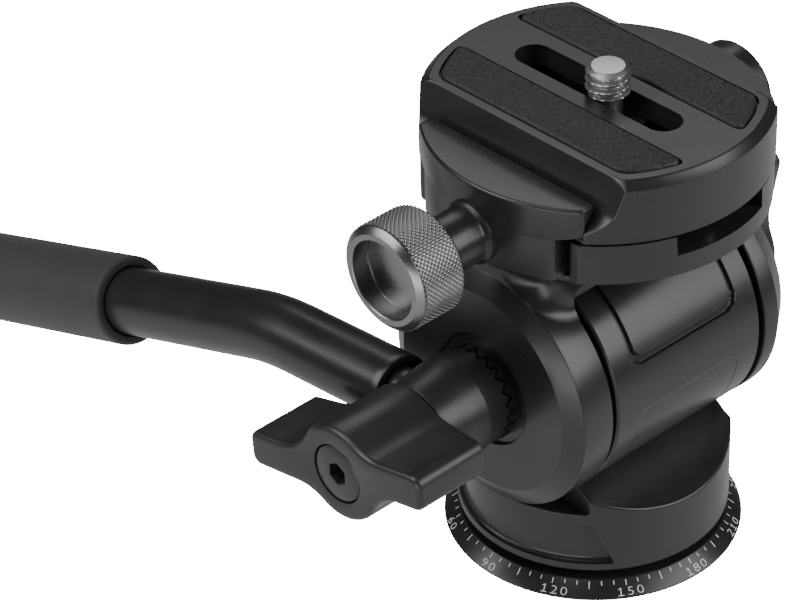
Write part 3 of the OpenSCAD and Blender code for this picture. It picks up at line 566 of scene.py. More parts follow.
# %% Foot with the dial band
_, base_high = node_box("base_ring")
_, insert_high = node_box("socket_insert")
thrust_low, _ = node_box("pan_thrust_washer")
dial_r = base_high[0]
dial_top = thrust_low[2]
DIAL_W, DIAL_LAND = 2.2, 0.3
SPINDLE_R = 8
INSERT_GAP = 0.02
FOOT_ROUND = [0, 0, 0.3, 0.12, 0.12, 0.2, 0, 0.4, 0]
FINE_COLS = 192
insert_r = insert_high[0] + INSERT_GAP
foot = turned("dial_ring", rounded([
    (0, insert_high[2]), (insert_r, insert_high[2]), (insert_r, 0), (dial_r, 0), (dial_r, DIAL_LAND),
    (dial_r - DIAL_W, dial_top), (SPINDLE_R, dial_top), (SPINDLE_R, base_high[2]), (0, base_high[2])],
    FOOT_ROUND), "z", cols=FINE_COLS)
stand_for(foot, "base_ring")
print("dial radius:", round(dial_r, 2))

# %% [markdown]
# ## Degree scale
#
# The scale is printed in white on the slope: a tick every five degrees, a longer one every fifteen,
# and a number every thirty. A picture of the scale would blur close up, so each mark is a thin mesh
# of ink. It is laid flat first, with one axis along the band and the other up its slope, and then
# wrapped on the cone: the first becomes an angle and the second a way down the slope. The built-in
# font gives the digits, except that its one is a plain bar, so a flag and a foot are added.

# %% Ticks
INK = 0.02
TICK_W, TICK_START = 0.14, 0.3
TICK_LENGTHS = {"short": 0.6, "long": 1.15, "numbered": 0.85}
TICK_STEP, LONG_STEP, NUMBER_STEP = 5, 15, 30
SCALE_ZERO = -92.4
slope = np.array([DIAL_W, DIAL_LAND - dial_top])
slope_l = np.linalg.norm(slope)
slope_unit = slope / slope_l
slope_normal = np.array([-slope_unit[1], slope_unit[0]])


def on_dial(along, down, lift, label):
    """Wraps flat marks on the cone: a way along the band is an angle, a way down follows the slope."""
    radius = dial_r - DIAL_W + slope_unit[0] * down + slope_normal[0] * lift
    height = dial_top + slope_unit[1] * down + slope_normal[1] * lift
    angle = np.radians(SCALE_ZERO + label) + along / (dial_r - DIAL_W / 2)
    return np.stack([radius * np.cos(angle), radius * np.sin(angle), height], -1)


def tick(degree):
    """The eight corners of one tick, a thin bar of ink."""
    kind = "numbered" if degree % NUMBER_STEP == 0 else "long" if degree % LONG_STEP == 0 else "short"
    side, end, lift = np.meshgrid([-0.5, 0.5], [0, 1], [-0.5, 1], indexing="ij")
    return on_dial(side * TICK_W, TICK_START + end * TICK_LENGTHS[kind], lift * INK, degree).reshape(-1, 3)


BAR_FACES = np.array([(0, 1, 3, 2), (4, 6, 7, 5), (0, 4, 5, 1), (2, 3, 7, 6), (0, 2, 6, 4), (1, 5, 7, 3)])
ticks = [tick(degree) for degree in range(0, 360, TICK_STEP)]
tick_faces = np.vstack([BAR_FACES + len(ticks[0]) * i for i in range(len(ticks))])
marks = piece_from("dial_ticks", np.vstack(ticks), tick_faces.tolist())
stand_for(marks, "base_ring", FINISH["dial_white"], hide=False)
print("dial ticks:", len(ticks))

# %% Shapes of the digits
NUMBER_H, DIGIT_SHARE, NUMBER_STRETCH = 1.25, 0.7, 1.3
STROKE, THINNER = 0.12, 0.03
FOOT_HALF, FLAG_L, FLAG_DROP = 0.42, 0.36, 0.2
CURVE_STEPS = 3


def bar(start, stop):
    """The eight corners of a straight stroke between two points, thick upwards."""
    return [(x, y + rise, lift) for x, y in (start, stop)
            for rise in (0, STROKE) for lift in (-INK / 2, INK / 2)]


def glyph(digit):
    """One digit as flat points and faces. A one has a flag and stands on a foot, as it does on the dial."""
    words = bpy.data.curves.new("digit", "FONT")
    words.body = digit
    words.size = NUMBER_H / DIGIT_SHARE
    words.align_x = "CENTER"
    words.extrude = INK / 2
    words.offset = -THINNER
    words.resolution_u = CURVE_STEPS
    writer = bpy.data.objects.new("digit", words)
    bpy.context.scene.collection.objects.link(writer)
    bpy.context.view_layer.update()
    mesh = bpy.data.meshes.new_from_object(writer.evaluated_get(bpy.context.evaluated_depsgraph_get()))
    bpy.data.objects.remove(writer)
    flat = gathered(mesh.vertices, "co", (len(mesh.vertices), 3)) * [NUMBER_STRETCH, 1, 1]
    faces = [list(face.vertices) for face in mesh.polygons]
    if digit == "1":
        top = flat[:, 1].max() - STROKE
        for extra in (bar((-FOOT_HALF, 0), (FOOT_HALF, 0)), bar((-FLAG_L, top - FLAG_DROP), (0, top))):
            faces += (BAR_FACES + len(flat)).tolist()
            flat = np.vstack([flat, extra])
    return flat, faces


GLYPHS = {digit: glyph(digit) for digit in "0123456789"}
print("points of each digit:", [len(flat) for flat, _ in GLYPHS.values()])

# %% Numbers round the dial
NUMBER_FOOT, NUMBER_SHIFT, DIGIT_STEP = 2.65, 1.3, 1.42
points, faces, count = [], [], 0
for label in range(0, 360, NUMBER_STEP):
    for i, digit in enumerate(str(label)):
        flat, own = GLYPHS[digit]
        along = flat[:, 0] + (i - (len(str(label)) - 1) / 2) * DIGIT_STEP
        points.append(on_dial(along, NUMBER_FOOT - flat[:, 1], flat[:, 2] + INK / 2, label + NUMBER_SHIFT))
        faces += [[corner + count for corner in face] for face in own]
        count += len(flat)
numbers = piece_from("dial_numbers", np.vstack(points), faces)
stand_for(numbers, "base_ring", FINISH["dial_white"], hide=False)
print("points of the numbers:", count)

# %% [markdown]
# ## Collar of the pan body
#
# The collar is a drum with a shallow finger scoop on its side and two sloping roofs that rise to
# the barrel. A Boolean could cut the scoop, but not its soft foot, so the drum is a grid of angle
# and height whose radius drops inside the scoop and at the chamfer over the dial. The columns lean
# with the scoop's slanted ends, so its edges follow the grid. The roofs and the pockets for the
# cheeks are flat, so they are milled after that.

# %% Grid of the collar
collar_low, collar_high = node_box("pan_body")
cover_low, _ = node_box("barrel_cover")
collar_r = collar_high[1]
collar_z = collar_low[2]
barrel_half = -cover_low[0]
TILT_Z = 33.5
SCOOP_LOW, SCOOP_HIGH, SCOOP_DEPTH = 5.1, 12.3, 0.9
SCOOP_END, SCOOP_LEAN = 47.5, 10.6
# The scoop's wall: degrees inside and outside its end, and millimetres below its upper edge
END_IN, END_OUT, BROW = 0.6, 0.15, 0.12
CHAMFER = 0.85
HIDDEN_TOP = 24
COLUMN_STEP, FILLET_STEPS, ROW_BELOW = 2.0, 9, 0.3
MIDDLE_ROWS, BROW_ROWS = np.linspace(7, 12, 6), np.linspace(-0.15, 0.05, 4)


def collar_grid():
    """Radius over angle and height: the drum's, less the chamfer and the scoop between its slanted ends.

    The scoop's foot is a quarter circle, so it leaves a small ledge, and its upper edge is crisp.
    """
    near_end = SCOOP_END + np.array([-2 * END_IN, -END_IN, -END_OUT, END_OUT, END_IN, 2 * END_IN])
    column = np.unique(np.concatenate([np.arange(-180, 180, COLUMN_STEP), near_end, -near_end]))
    fillet = SCOOP_LOW + SCOOP_DEPTH * (1 - np.cos(np.linspace(0, np.pi / 2, FILLET_STEPS)))
    height = np.unique(np.concatenate([
        [collar_z, collar_z + CHAMFER, SCOOP_LOW - ROW_BELOW, HIDDEN_TOP], fillet, MIDDLE_ROWS,
        SCOOP_HIGH + BROW_ROWS]))[:, None]
    middle = (height - (SCOOP_LOW + SCOOP_HIGH) / 2) / (SCOOP_HIGH - SCOOP_LOW)
    weight = np.clip(1 - np.abs(np.abs(column) - SCOOP_END) / SCOOP_END, 0, 1)
    angle = column - np.sign(column) * SCOOP_LEAN * np.clip(middle, -0.5, 0.5) * weight
    rise = np.clip((height - SCOOP_LOW) / SCOOP_DEPTH, 0, 1)
    deep = np.sqrt(1 - (1 - rise) ** 2) * (1 - ramp(height, SCOOP_HIGH - BROW, SCOOP_HIGH))
    inside = 1 - ramp(np.abs(column), SCOOP_END - END_IN, SCOOP_END + END_OUT)
    chamfer = np.clip(CHAMFER - (height - collar_z), 0, CHAMFER)
    radius = collar_r - SCOOP_DEPTH * deep * inside - chamfer
    turn = np.radians(angle)
    return np.stack([radius * np.cos(turn), radius * np.sin(turn), height + 0 * turn], -1)


collar = shell("pan_collar", collar_grid())
print("collar radius:", round(collar_r, 2), "faces:", len(collar.data.polygons))

# %% Roofs and pockets of the collar
BEYOND = 40
ROOF_Z, ROOF_HALF, ROOF_REACH = 13.3, 30, 1.5
ROOF_SLOPE = math.tan(math.radians(25))
POCKET_Z = 14.0
COLLAR_EDGE, COLLAR_WELD, EDGE_ABOVE = 0.3, 0.16, 12.6
roof_y, roof_side = ROOF_REACH * collar_r, ROOF_Z - ROOF_SLOPE * collar_r * (ROOF_REACH - 1)
roof_line = [(-roof_y, 0), (roof_y, 0), (roof_y, roof_side),
             (0, ROOF_Z + ROOF_SLOPE * collar_r), (-roof_y, roof_side)]
roof = carried("roof", roof_line, -ROOF_HALF, ROOF_HALF, "x")
carve(collar, roof, how="INTERSECT")
for side in (-1, 1):
    pocket = [(side * barrel_half, POCKET_Z), (side * BEYOND, POCKET_Z),
              (side * BEYOND, BEYOND), (side * barrel_half, BEYOND)]
    carve(collar, carried("pocket", pocket, -BEYOND, BEYOND, "y"))
soften(collar, COLLAR_EDGE, weld=COLLAR_WELD, above=EDGE_ABOVE, clamped=False)
stand_for(collar, "pan_body")
print("collar faces after milling:", len(collar.data.polygons))

# %% [markdown]
# ## Barrel
#
# The drag barrel is a turned drum with a panel framed by a groove on its front. A bump would not
# cast the groove's shadow, so the groove is real: the drum is a grid over length and angle, and its
# radius drops where a point lies inside the groove's outline. The outline is a distance to a slot
# with round corners, open at its top. A second, much shallower step marks the lower panel.

# %% Barrel
BARREL_R = 18.6
PANEL_HALF, PANEL_LOW, PANEL_CORNER = 10.8, 39.7, 2.4
GROOVE_W, GROOVE_DEPTH = 1.1, 0.6
STEP_HALF, STEP_TOP, STEP_CORNER, STEP_DEPTH = 10.2, 32.4, 2.5, 0.07
EDGE, END_BREAK = 0.14, 0.3
END_ROWS = np.array([0, 0.1, 0.3, 0.8])
PLAIN_ROWS, FINE_ROWS, OUTER_ROW = np.arange(-8, 8.01, 1.0), np.arange(8.0, 11.3, 0.16), 12.5
PLAIN_TURN, UPPER_TURN = np.arange(-180, 180, 3.0), np.arange(18.3, 29, 0.45)
LOWER_TURN = np.arange(-16, -2, 0.45)


def to_slot(across, inward, half, corner):
    """Distance outside a slot with round corners that opens away from its end: negative inside it."""
    side, end = np.abs(across) - (half - corner), corner - inward
    return np.hypot(np.maximum(side, 0), np.maximum(end, 0)) + np.minimum(np.maximum(side, end), 0) - corner


def barrel_grid():
    """Radius over length and angle: the drum's, less the groove and the step, with broken end edges."""
    length = np.unique(np.round(np.concatenate([
        PLAIN_ROWS, FINE_ROWS, -FINE_ROWS, [-OUTER_ROW, OUTER_ROW], barrel_half - END_ROWS,
        -barrel_half + END_ROWS]), 3))[:, None]
    angle = np.unique(np.round(np.concatenate([PLAIN_TURN, UPPER_TURN, LOWER_TURN]), 3))
    turn = np.radians(angle)
    height = TILT_Z + BARREL_R * np.sin(turn)
    front = np.cos(turn) > 0
    panel = to_slot(length, height - PANEL_LOW, PANEL_HALF, PANEL_CORNER)
    groove = ramp(-panel, -EDGE / 2, EDGE / 2) * ramp(panel + GROOVE_W, -EDGE / 2, EDGE / 2) * front
    step = ramp(-to_slot(length, STEP_TOP - height, STEP_HALF, STEP_CORNER), -EDGE, EDGE) * front
    end = END_BREAK * ramp(np.abs(length), barrel_half - END_BREAK, barrel_half)
    radius = BARREL_R - GROOVE_DEPTH * groove - STEP_DEPTH * step - end
    return np.stack([length + 0 * turn, radius * np.cos(turn), TILT_Z + radius * np.sin(turn)], -1)


barrel = shell("drag_barrel", barrel_grid())
stand_for(barrel, "pan_body", hide=False)
print("barrel faces:", len(barrel.data.polygons))

# %% [markdown]
# ## Tilt yoke
#
# The yoke is one casting: two round cheeks hold the barrel, and a round flange over it carries the
# clamp. The cheeks, the flange and the bridge between them are turned or carried. Its legs flow
# from the one into the other, which no turned shape gives. A sculpted or subdivided cage could, but
# it would only come near the rims. Each leg is therefore a skin of cubic curves: a curve leaves the
# cheek's rim along the rim's own direction and swings out to the flange's rim, so the leg has a
# waist and flares as a casting does.

# %% Cheeks, bridge and flange
tilt_axis = (0, 0, TILT_Z)
CHEEK_R, CHEEK_FACE_R, CHEEK_BEVEL, CHEEK_IN = 18.7, 15.8, 1.6, 15.6
FAR_EDGE_X, FAR_FACE_R = 18.3, 15.3
RIM_R, RIM_TOP_R, RIM_IN, RECESS = 9.6, 9.0, 8.6, 0.6
FLANGE_R, FLANGE_T = 22.8, 0.7
BARREL_ROOM, BRIDGE_Y = 19.2, 10.0
BRIDGE_UP, BRIDGE_OUT, ARCH_STEPS = 0.3, 0.4, 30
CHEEK_ROUND = [0, 0.25, 0.2, 0.2, 0.4, 0.3, 0.25, 0.1, 0]
FAR_ROUND = [0, 0.25, 0.2, 0.2, 0]
FLANGE_ROUND = [0, 0.15, 0.25, 0]
yoke_low, yoke_high = node_box("tilt_yoke")
face_x, rim_x = -yoke_low[0], yoke_high[0]
flange_z = yoke_high[2] - FLANGE_T
cheek_edge = [(0, CHEEK_IN), (CHEEK_R, CHEEK_IN), (CHEEK_R, face_x - CHEEK_BEVEL), (CHEEK_FACE_R, face_x)]
rim = [(RIM_R, face_x), (RIM_TOP_R, rim_x), (RIM_IN, rim_x), (RIM_IN, face_x - RECESS), (0, face_x - RECESS)]
near_profile = rounded(cheek_edge + rim, CHEEK_ROUND)
far_edge = cheek_edge[:2] + [(CHEEK_R, FAR_EDGE_X), (FAR_FACE_R, face_x), (0, face_x)]
far_profile = rounded(far_edge, FAR_ROUND) * [1, -1]
cheek = turned("right_cheek", near_profile, "x", tilt_axis, cols=FINE_COLS)
stand_for(cheek, "tilt_yoke")
stand_for(turned("left_cheek", far_profile, "x", tilt_axis, cols=FINE_COLS), "tilt_yoke", hide=False)
flange_edge = [(0, flange_z), (FLANGE_R, flange_z), (FLANGE_R, yoke_high[2]), (0, yoke_high[2])]
flange = turned("saddle_flange", rounded(flange_edge, FLANGE_ROUND), "z", cols=FINE_COLS)
stand_for(flange, "tilt_yoke", hide=False)
over = math.degrees(math.acos(BRIDGE_Y / BARREL_ROOM))
arch = arc((0, TILT_Z), BARREL_ROOM, over, 180 - over, ARCH_STEPS)
bridge_outline = np.vstack([arch, [(-BRIDGE_Y, flange_z + BRIDGE_UP), (BRIDGE_Y, flange_z + BRIDGE_UP)]])
bridge = carried("saddle_bridge", bridge_outline, -CHEEK_IN - BRIDGE_OUT, CHEEK_IN + BRIDGE_OUT, "x")
stand_for(bridge, "tilt_yoke", hide=False)
print("cheek faces:", len(cheek.data.polygons))

# %% Legs
LEG_ANGLE, LEG_SPREAD = 50, 18
LEG_TURN = 0.5
# Handle lengths of the curves, at the leg's corner and at its outermost curve
LEAVE_L, ARRIVE_L = (3.2, 1.3), (6.0, 2.0)
ARRIVE_OUT, ARRIVE_UP = 0.93, 0.37
CORNER_TURN = 16
SWING = (90, 45, 0)
TURN_COLS, SIDE_COLS, LEG_ROWS = 16, 18, 18
SUNK_SHARE, SUNK_IN, RAISED = 0.8, 0.3, 0.8


def leg_grid():
    """Cubic curves from the cheek's rim to the flange's, in rows up the leg and columns round it.

    The columns run from the inner front corner round the outside to the inner back corner. The share s is 0
    at the corner and 1 at the outermost curve. Up to LEG_TURN the feet follow a quarter of an ellipse on the
    rim, which rounds the leg's front edge, and after it they follow the rim's outer edge.
    """
    s = np.concatenate([np.linspace(0, LEG_TURN, TURN_COLS)[:-1], np.linspace(LEG_TURN, 1, SIDE_COLS)])
    stops = [0, LEG_TURN, 1]
    quarter = np.pi / 2 * np.minimum(s / LEG_TURN, 1)
    after = np.maximum(s - LEG_TURN, 0) / (1 - LEG_TURN)
    angle = LEG_ANGLE + LEG_SPREAD * (1 - np.cos(quarter)) + (90 - LEG_ANGLE - LEG_SPREAD) * after
    angle = np.radians(angle)
    x = CHEEK_IN + (face_x - CHEEK_BEVEL - CHEEK_IN) * np.sin(quarter)
    start = np.stack([x, CHEEK_R * np.cos(angle), TILT_Z + CHEEK_R * np.sin(angle)], 1)
    upright = ramp(s, LEG_TURN, 1)
    leave = np.stack([0 * s, -(1 - upright) * np.sin(angle), (1 - upright) * np.cos(angle) + upright], 1)
    leave = leave / np.linalg.norm(leave, axis=1)[:, None] * np.interp(s, [0, 1], LEAVE_L)[:, None]
    corner = math.degrees(math.acos(CHEEK_IN / FLANGE_R))
    around = np.radians(np.interp(s, stops, [corner, corner - CORNER_TURN, 0]))
    stop = np.stack([FLANGE_R * np.cos(around), FLANGE_R * np.sin(around), 0 * s + flange_z], 1)
    swing = np.radians(np.interp(s, stops, SWING))
    arrive = np.stack([ARRIVE_OUT * np.cos(swing), ARRIVE_OUT * np.sin(swing), 0 * s + ARRIVE_UP], 1)
    arrive = arrive * np.interp(s, [0, 1], ARRIVE_L)[:, None]
    t = np.linspace(0, 1, LEG_ROWS)[:, None, None]
    rows = ((1 - t) ** 3 * start + 3 * t * (1 - t) ** 2 * (start + leave)
            + 3 * t * t * (1 - t) * (stop - arrive) + t ** 3 * stop)
    rows[..., 0] = np.maximum(rows[..., 0], CHEEK_IN)
    rows[:, 0, 0] = CHEEK_IN
    sunk = (start - [0, 0, TILT_Z]) * [1, SUNK_SHARE, SUNK_SHARE] + [-SUNK_IN, 0, TILT_Z]
    raised = stop + [0, 0, RAISED]
    half = np.concatenate([sunk[None], rows, raised[None]])
    return np.concatenate([half, (half * [1, -1, 1])[:, ::-1][:, 1:]], axis=1)


for name, side in (("right_leg", 1), ("left_leg", -1)):
    stand_for(shell(name, leg_grid() * [side, 1, 1]), "tilt_yoke", hide=False)
print("leg columns:", leg_grid().shape[1])

# %% [markdown]
# ## Clamp base and moving jaw
#
# The clamp is a round block with a dovetail across its top. One jaw is part of the block: a
# cylinder kept where it lies inside the jaw's outline, as a milling machine would leave it. The
# other jaw slides in a seat on the knob's side. It could be cut in the same way, but its thin lip
# has a different rounding on each edge, which one Bevel can't give. So it is a stack of outlines
# along the dovetail, each with round corners, and the drum's curve sets how far each reaches.

# %% Clamp base
clamp_low, clamp_high = node_box("clamp_base")
jaw_low, jaw_high = node_box("moving_jaw")
plate_low, plate_high = node_box("quick_release_plate")
clamp_r = clamp_high[1]
CLAMP_TOP = 63.3
dovetail_half = plate_high[0]
EDGE_Z = 65.0
LIP_X = 16.8
SEAT_X, SEAT_Y, SEAT_EASE = 13.0, 13.0, 1.5
SEAT_FAR, SEAT_CUT = 60, (50, 80)
WINDOW_HALF, WINDOW_Y, WINDOW_Z = 8.5, 11.3, (60.2, 63.9)
JAW_GAP, JAW_FOOT, DRUM_FOOT = 0.15, 2, 1
CLAMP_ROUND, CLAMP_EDGE, CLAMP_WELD = 0.3, 0.2, 0.25
DRUM_COLS, EASE_STEPS = 200, 9
lip_half = jaw_high[1]
lip_top = jaw_high[2]


def drum(low, high, edge=0.0):
    """A cylinder of the clamp's radius, with rounded edges."""
    side = [(0, low), (clamp_r, low), (clamp_r, high), (0, high)]
    return turned("drum", rounded(side, [0, edge, edge, 0]), "z", cols=DRUM_COLS)


def lip_profile(low, gap, side):
    """A jaw's lip over the dovetail, as (x, z): it follows the 45 degree flank at a gap."""
    foot = dovetail_half + gap
    shoulder = foot + EDGE_Z + gap * (math.sqrt(2) - 1)
    points = [(foot, low), (BEYOND, low), (BEYOND, lip_top), (LIP_X, lip_top), (LIP_X, shoulder - LIP_X),
              (foot, shoulder - foot)]
    return np.array(points) * [side, 1]


def block(x, y, z):
    """A box between three pairs of limits."""
    return carried("block", [(x[0], y[0]), (x[1], y[0]), (x[1], y[1]), (x[0], y[1])], z[0], z[1], "z")


clamp = drum(clamp_low[2], CLAMP_TOP, CLAMP_ROUND)
clamp.name = "clamp_block"
lip = carried("lip", lip_profile(CLAMP_TOP - JAW_FOOT, JAW_GAP, -1), -lip_half, lip_half, "y")
fixed = carve(drum(CLAMP_TOP - DRUM_FOOT, lip_top), lip, how="INTERSECT")
carve(clamp, fixed, how="UNION")
ease_y = SEAT_Y + SEAT_EASE
ease_x = math.sqrt((clamp_r - SEAT_EASE) ** 2 - ease_y ** 2)
ease = arc((ease_x, ease_y), SEAT_EASE, -90, bearing((ease_x, ease_y)), EASE_STEPS)
seat = np.vstack([[(SEAT_X, SEAT_Y)], ease, [2 * ease[-1], (SEAT_FAR, 0)]])
carve(clamp, carried("seat", np.vstack([seat, (seat[-2::-1] * [1, -1])]), *SEAT_CUT, "z"))
for side in (-1, 1):
    carve(clamp, block((-WINDOW_HALF, WINDOW_HALF), sorted((side * WINDOW_Y, side * BEYOND)), WINDOW_Z))
soften(clamp, CLAMP_EDGE, weld=CLAMP_WELD)
stand_for(clamp, "clamp_base")
print("clamp faces:", len(clamp.data.polygons))

# %% Moving jaw
JAW_HALF, JAW_TOP = 12.48, 64.6
LIP_SHOULDER, LIP_UNDER, LIP_RISE = 85.0, 63.6, 0.4
LIP_THIN, LIP_FACE, WALL_GAP, FOOT_GAP = 0.2, 0.15, 0.02, 0.1
LIP_ROUND = [0.05, 0.1, 0.5, 0.25, 0.2, 0.03]
WALL_ROUND = [0.2, 0.3, 0.2, 0.1, 0.1, 0.2]
END_ROUND = 0.3
CORNER_POINTS, BEND_STEPS, SECTION_STEPS = 6, 6, 61


def lip_section(y):
    """The lip's outline at a place along it, as (x, z): the drum behind and the 45 degree slope below."""
    back = math.sqrt(clamp_r ** 2 - y ** 2)
    under = LIP_UNDER + LIP_RISE * max(0, LIP_SHOULDER - back + LIP_THIN - LIP_UNDER)
    front = min(LIP_SHOULDER - under, back - LIP_THIN)
    corners = [(front, under), (back, under), (back, lip_top), (LIP_X, lip_top),
               (LIP_X, LIP_SHOULDER - LIP_X), (front, max(LIP_SHOULDER - front, under + LIP_FACE))]
    return rounded(corners, LIP_ROUND, steps=CORNER_POINTS, closed=True)


def wall_section(y):
    """The outline of the jaw's wall and its foot under the plate, as (x, z)."""
    back = math.sqrt((clamp_r - WALL_GAP) ** 2 - y ** 2)
    inner, foot_top = LIP_SHOULDER - JAW_TOP, CLAMP_TOP - FOOT_GAP
    corners = [(jaw_low[0], jaw_low[2]), (back, jaw_low[2]), (back, JAW_TOP), (inner, JAW_TOP),
               (inner, foot_top), (jaw_low[0], foot_top)]
    return rounded(corners, WALL_ROUND, steps=CORNER_POINTS, closed=True)


def sections(name, section, half):
    """Outlines along y, drawn in towards their middles over the two rounded ends."""
    bend = np.radians(np.linspace(0, 90, BEND_STEPS))[1:]
    end, drawn = half - END_ROUND * (1 - np.sin(bend)), END_ROUND * (1 - np.cos(bend))
    inner = np.linspace(END_ROUND - half, half - END_ROUND, SECTION_STEPS)
    rows = []
    for y, inset in zip([*-end[::-1], *inner, *end], [*drawn[::-1], *(0 * inner), *drawn]):
        outline = section(y)
        low, high = outline.min(0), outline.max(0)
        outline = (low + high) / 2 + (outline - (low + high) / 2) * (1 - 2 * inset / (high - low))
        rows.append(np.insert(outline, 1, y, axis=1))
    return shell(name, np.stack(rows))


jaw = stand_for(sections("jaw_lip", lip_section, lip_half), "moving_jaw")
stand_for(sections("jaw_wall", wall_section, JAW_HALF), "moving_jaw", hide=False)
print("jaw faces:", len(jaw.data.polygons))

# %% [markdown]
# ## Clamp knob, its neck and the far nut
#
# The knob is turned and then knurled: two sets of grooves cross on it and leave small bumps. A bump
# in the material would leave the knob's rim smooth against the light, so the bumps are real. A
# bump's height is the product of two squared cosines, one for each set, so the whole knurl is one
# formula over angle and length. A plain cap closes the floor of the cup in its face. The neck and
# the far nut are plain turned pieces with rounded edges.

# %% Knurled knob
knob_low, knob_high = node_box("clamp_knob")
clamp_axis = (0, 0, (knob_low[2] + knob_high[2]) / 2)
knob_r = knob_high[1]
KNURLS = 64
KNURL_STEPS = 8
KNURL_DEPTH = 0.24
FACE_R, CUP_R, CUP_DEPTH = 6.75, 5.75, 3.0
KNOB_BORE, KNOB_EDGE = 2.2, 0.35
CAP_T, CAP_GAP = 0.15, 0.02
REAR_BEVEL, FRONT_BEVEL, FRONT_START = (0.6, 0.5), (0.15, 0.75), 0.9
FACE_BREAK, CUP_BREAK = 0.1, 0.15
KNURL_ENDS = (0.55, 0.95)
REAR_ROUND, CAP_ROUND = 0.2, [0, 0.02, 0.02, 0]
FRONT_ROUND = [0, 0.1, 0.06, 0.06, 0.1, 0.1, 0.4, 0]


def knurl(start, stop):
    """Rows of (radius, place): bumps between two crossing sets of grooves, each a squared cosine."""
    pitch = 2 * np.pi * knob_r / KNURLS
    rows = int(round((stop - start) / pitch)) * KNURL_STEPS + 1
    along = np.linspace(0, (rows - 1) / KNURL_STEPS, rows)[:, None]
    round_it = np.arange(KNURLS * KNURL_STEPS) / KNURL_STEPS
    ridge = [np.cos(np.pi * (round_it + sign * along)) ** 2 for sign in (1, -1)]
    radius = knob_r - KNURL_DEPTH * (1 - ridge[0] * ridge[1])
    return np.stack([radius, np.linspace(start, stop, rows)[:, None] + 0 * radius], -1)


def even(profile, cols):
    """A plain profile repeated over the columns of a grid."""
    return np.repeat(np.asarray(profile, float)[:, None, :], cols, axis=1)


knob_cols = KNURLS * KNURL_STEPS
knob_back, knob_face = knob_low[0], knob_high[0]
cup_floor = knob_face - CUP_DEPTH
rear = rounded([
    (KNOB_BORE, knob_back), (knob_r - REAR_BEVEL[0], knob_back),
    (knob_r - KNOB_EDGE, knob_back + REAR_BEVEL[1])], REAR_ROUND)
front_edge = rounded([
    (knob_r - KNOB_EDGE, knob_face - FRONT_START), (knob_r - FRONT_BEVEL[0], knob_face - FRONT_BEVEL[1]),
    (FACE_R + FACE_BREAK, knob_face - FACE_BREAK), (FACE_R - FACE_BREAK / 2, knob_face),
    (CUP_R + CUP_BREAK, knob_face), (CUP_R, knob_face - CUP_BREAK), (CUP_R, cup_floor),
    (KNOB_BORE, cup_floor)], FRONT_ROUND)
knurled = knurl(knob_back + KNURL_ENDS[0], knob_face - KNURL_ENDS[1])
knob_profile = np.concatenate([even(rear, knob_cols), knurled, even(front_edge, knob_cols)])
knob = turned("clamp_knob_knurled", knob_profile, "x", clamp_axis, cols=knob_cols, ring=True)
stand_for(knob, "clamp_knob")
cap_r, cap_top = CUP_R - CAP_GAP, cup_floor + CAP_T
cap_edge = rounded([(0, cup_floor), (cap_r, cup_floor), (cap_r, cap_top), (0, cap_top)], CAP_ROUND)
stand_for(turned("knob_cap", cap_edge, "x", clamp_axis), "clamp_knob", hide=False)
print("knob faces:", len(knob.data.polygons))

# %% Neck and far nut
neck_low, neck_high = node_box("knob_collar")
NECK_R, NECK_FLANGE, NECK_BORE = 4.2, 4.7, 2.6
NECK_STEP, NECK_FOOT = 1.5, 2.1
NECK_ROUND = [0, 0, 0.2, 1.0, 0.3, 0]
NUT_LONGER = 0.9
NUT_ROUND = [0, 0.5, 0.1, 0]
neck_x = neck_low[0]
neck = turned("knob_neck", rounded([
    (NECK_BORE, neck_x), (NECK_FLANGE, neck_x), (NECK_FLANGE, neck_x + NECK_STEP),
    (NECK_R, neck_x + NECK_FOOT), (NECK_R, neck_high[0]), (NECK_BORE, neck_high[0])], NECK_ROUND),
    "x", clamp_axis, ring=True)
stand_for(neck, "knob_collar")
nut_low, nut_high = node_box("clamp_nut")
nut_end = nut_low[0] - NUT_LONGER
nut = turned("far_nut", rounded([
    (0, nut_end), (nut_high[1], nut_end), (nut_high[1], nut_high[0]), (0, nut_high[0])], NUT_ROUND),
    "x", clamp_axis)
stand_for(nut, "clamp_nut")
print("neck and nut faces:", len(neck.data.polygons), len(nut.data.polygons))

# %% [markdown]
# ## Quick-release plate
#
# The plate is a disc with two flats whose sides sweep out to a dovetail. A disc could be cut to
# this by a Boolean, but the cutter would need the hollow of the sides anyway. At every height the
# outline is a circle cut by two straight sides, with a small arc at each corner, so the whole plate
# is a stack of such outlines. The stack goes up the outside, across the top to the slot, down the
# slot and its well, and back along the underside, where it closes on itself. The two pad seats are
# milled after that.

# %% Outlines of the plate and its slot
SLOT_HALF, SLOT_END = 2.75, 12.25
SIDE_STEPS, CORNER_STEPS, END_STEPS = 10, 8, 30


def four_fold(quarter):
    """A quarter outline from +x to +y, mirrored into a whole one."""
    half = np.vstack([quarter, (quarter * [-1, 1])[::-1][1:]])
    return np.vstack([half, (half * [1, -1])[::-1][1:-1]])


def disc_outline(radius, half, corner):
    """A circle with two flats: a side, a small corner arc and the round end."""
    middle = np.array([half - corner, math.sqrt((radius - corner) ** 2 - (half - corner) ** 2)])
    lean = math.degrees(math.atan2(middle[1], middle[0]))
    side = np.stack([np.full(SIDE_STEPS, half), np.linspace(0, middle[1], SIDE_STEPS, endpoint=False)], 1)
    bend = arc(middle, corner, 0, lean, CORNER_STEPS)[:-1]
    return four_fold(np.vstack([side, bend, arc((0, 0), radius, lean, 90, END_STEPS)]))


def slot_outline(half):
    """A slot with round ends, with as many points as the disc's outline."""
    steps = SIDE_STEPS + CORNER_STEPS - 1
    side = np.stack([np.full(steps, half), np.linspace(0, SLOT_END, steps, endpoint=False)], 1)
    return four_fold(np.vstack([side, arc((0, SLOT_END), half, 0, 90, END_STEPS)]))


print("points of an outline:", len(slot_outline(SLOT_HALF)))

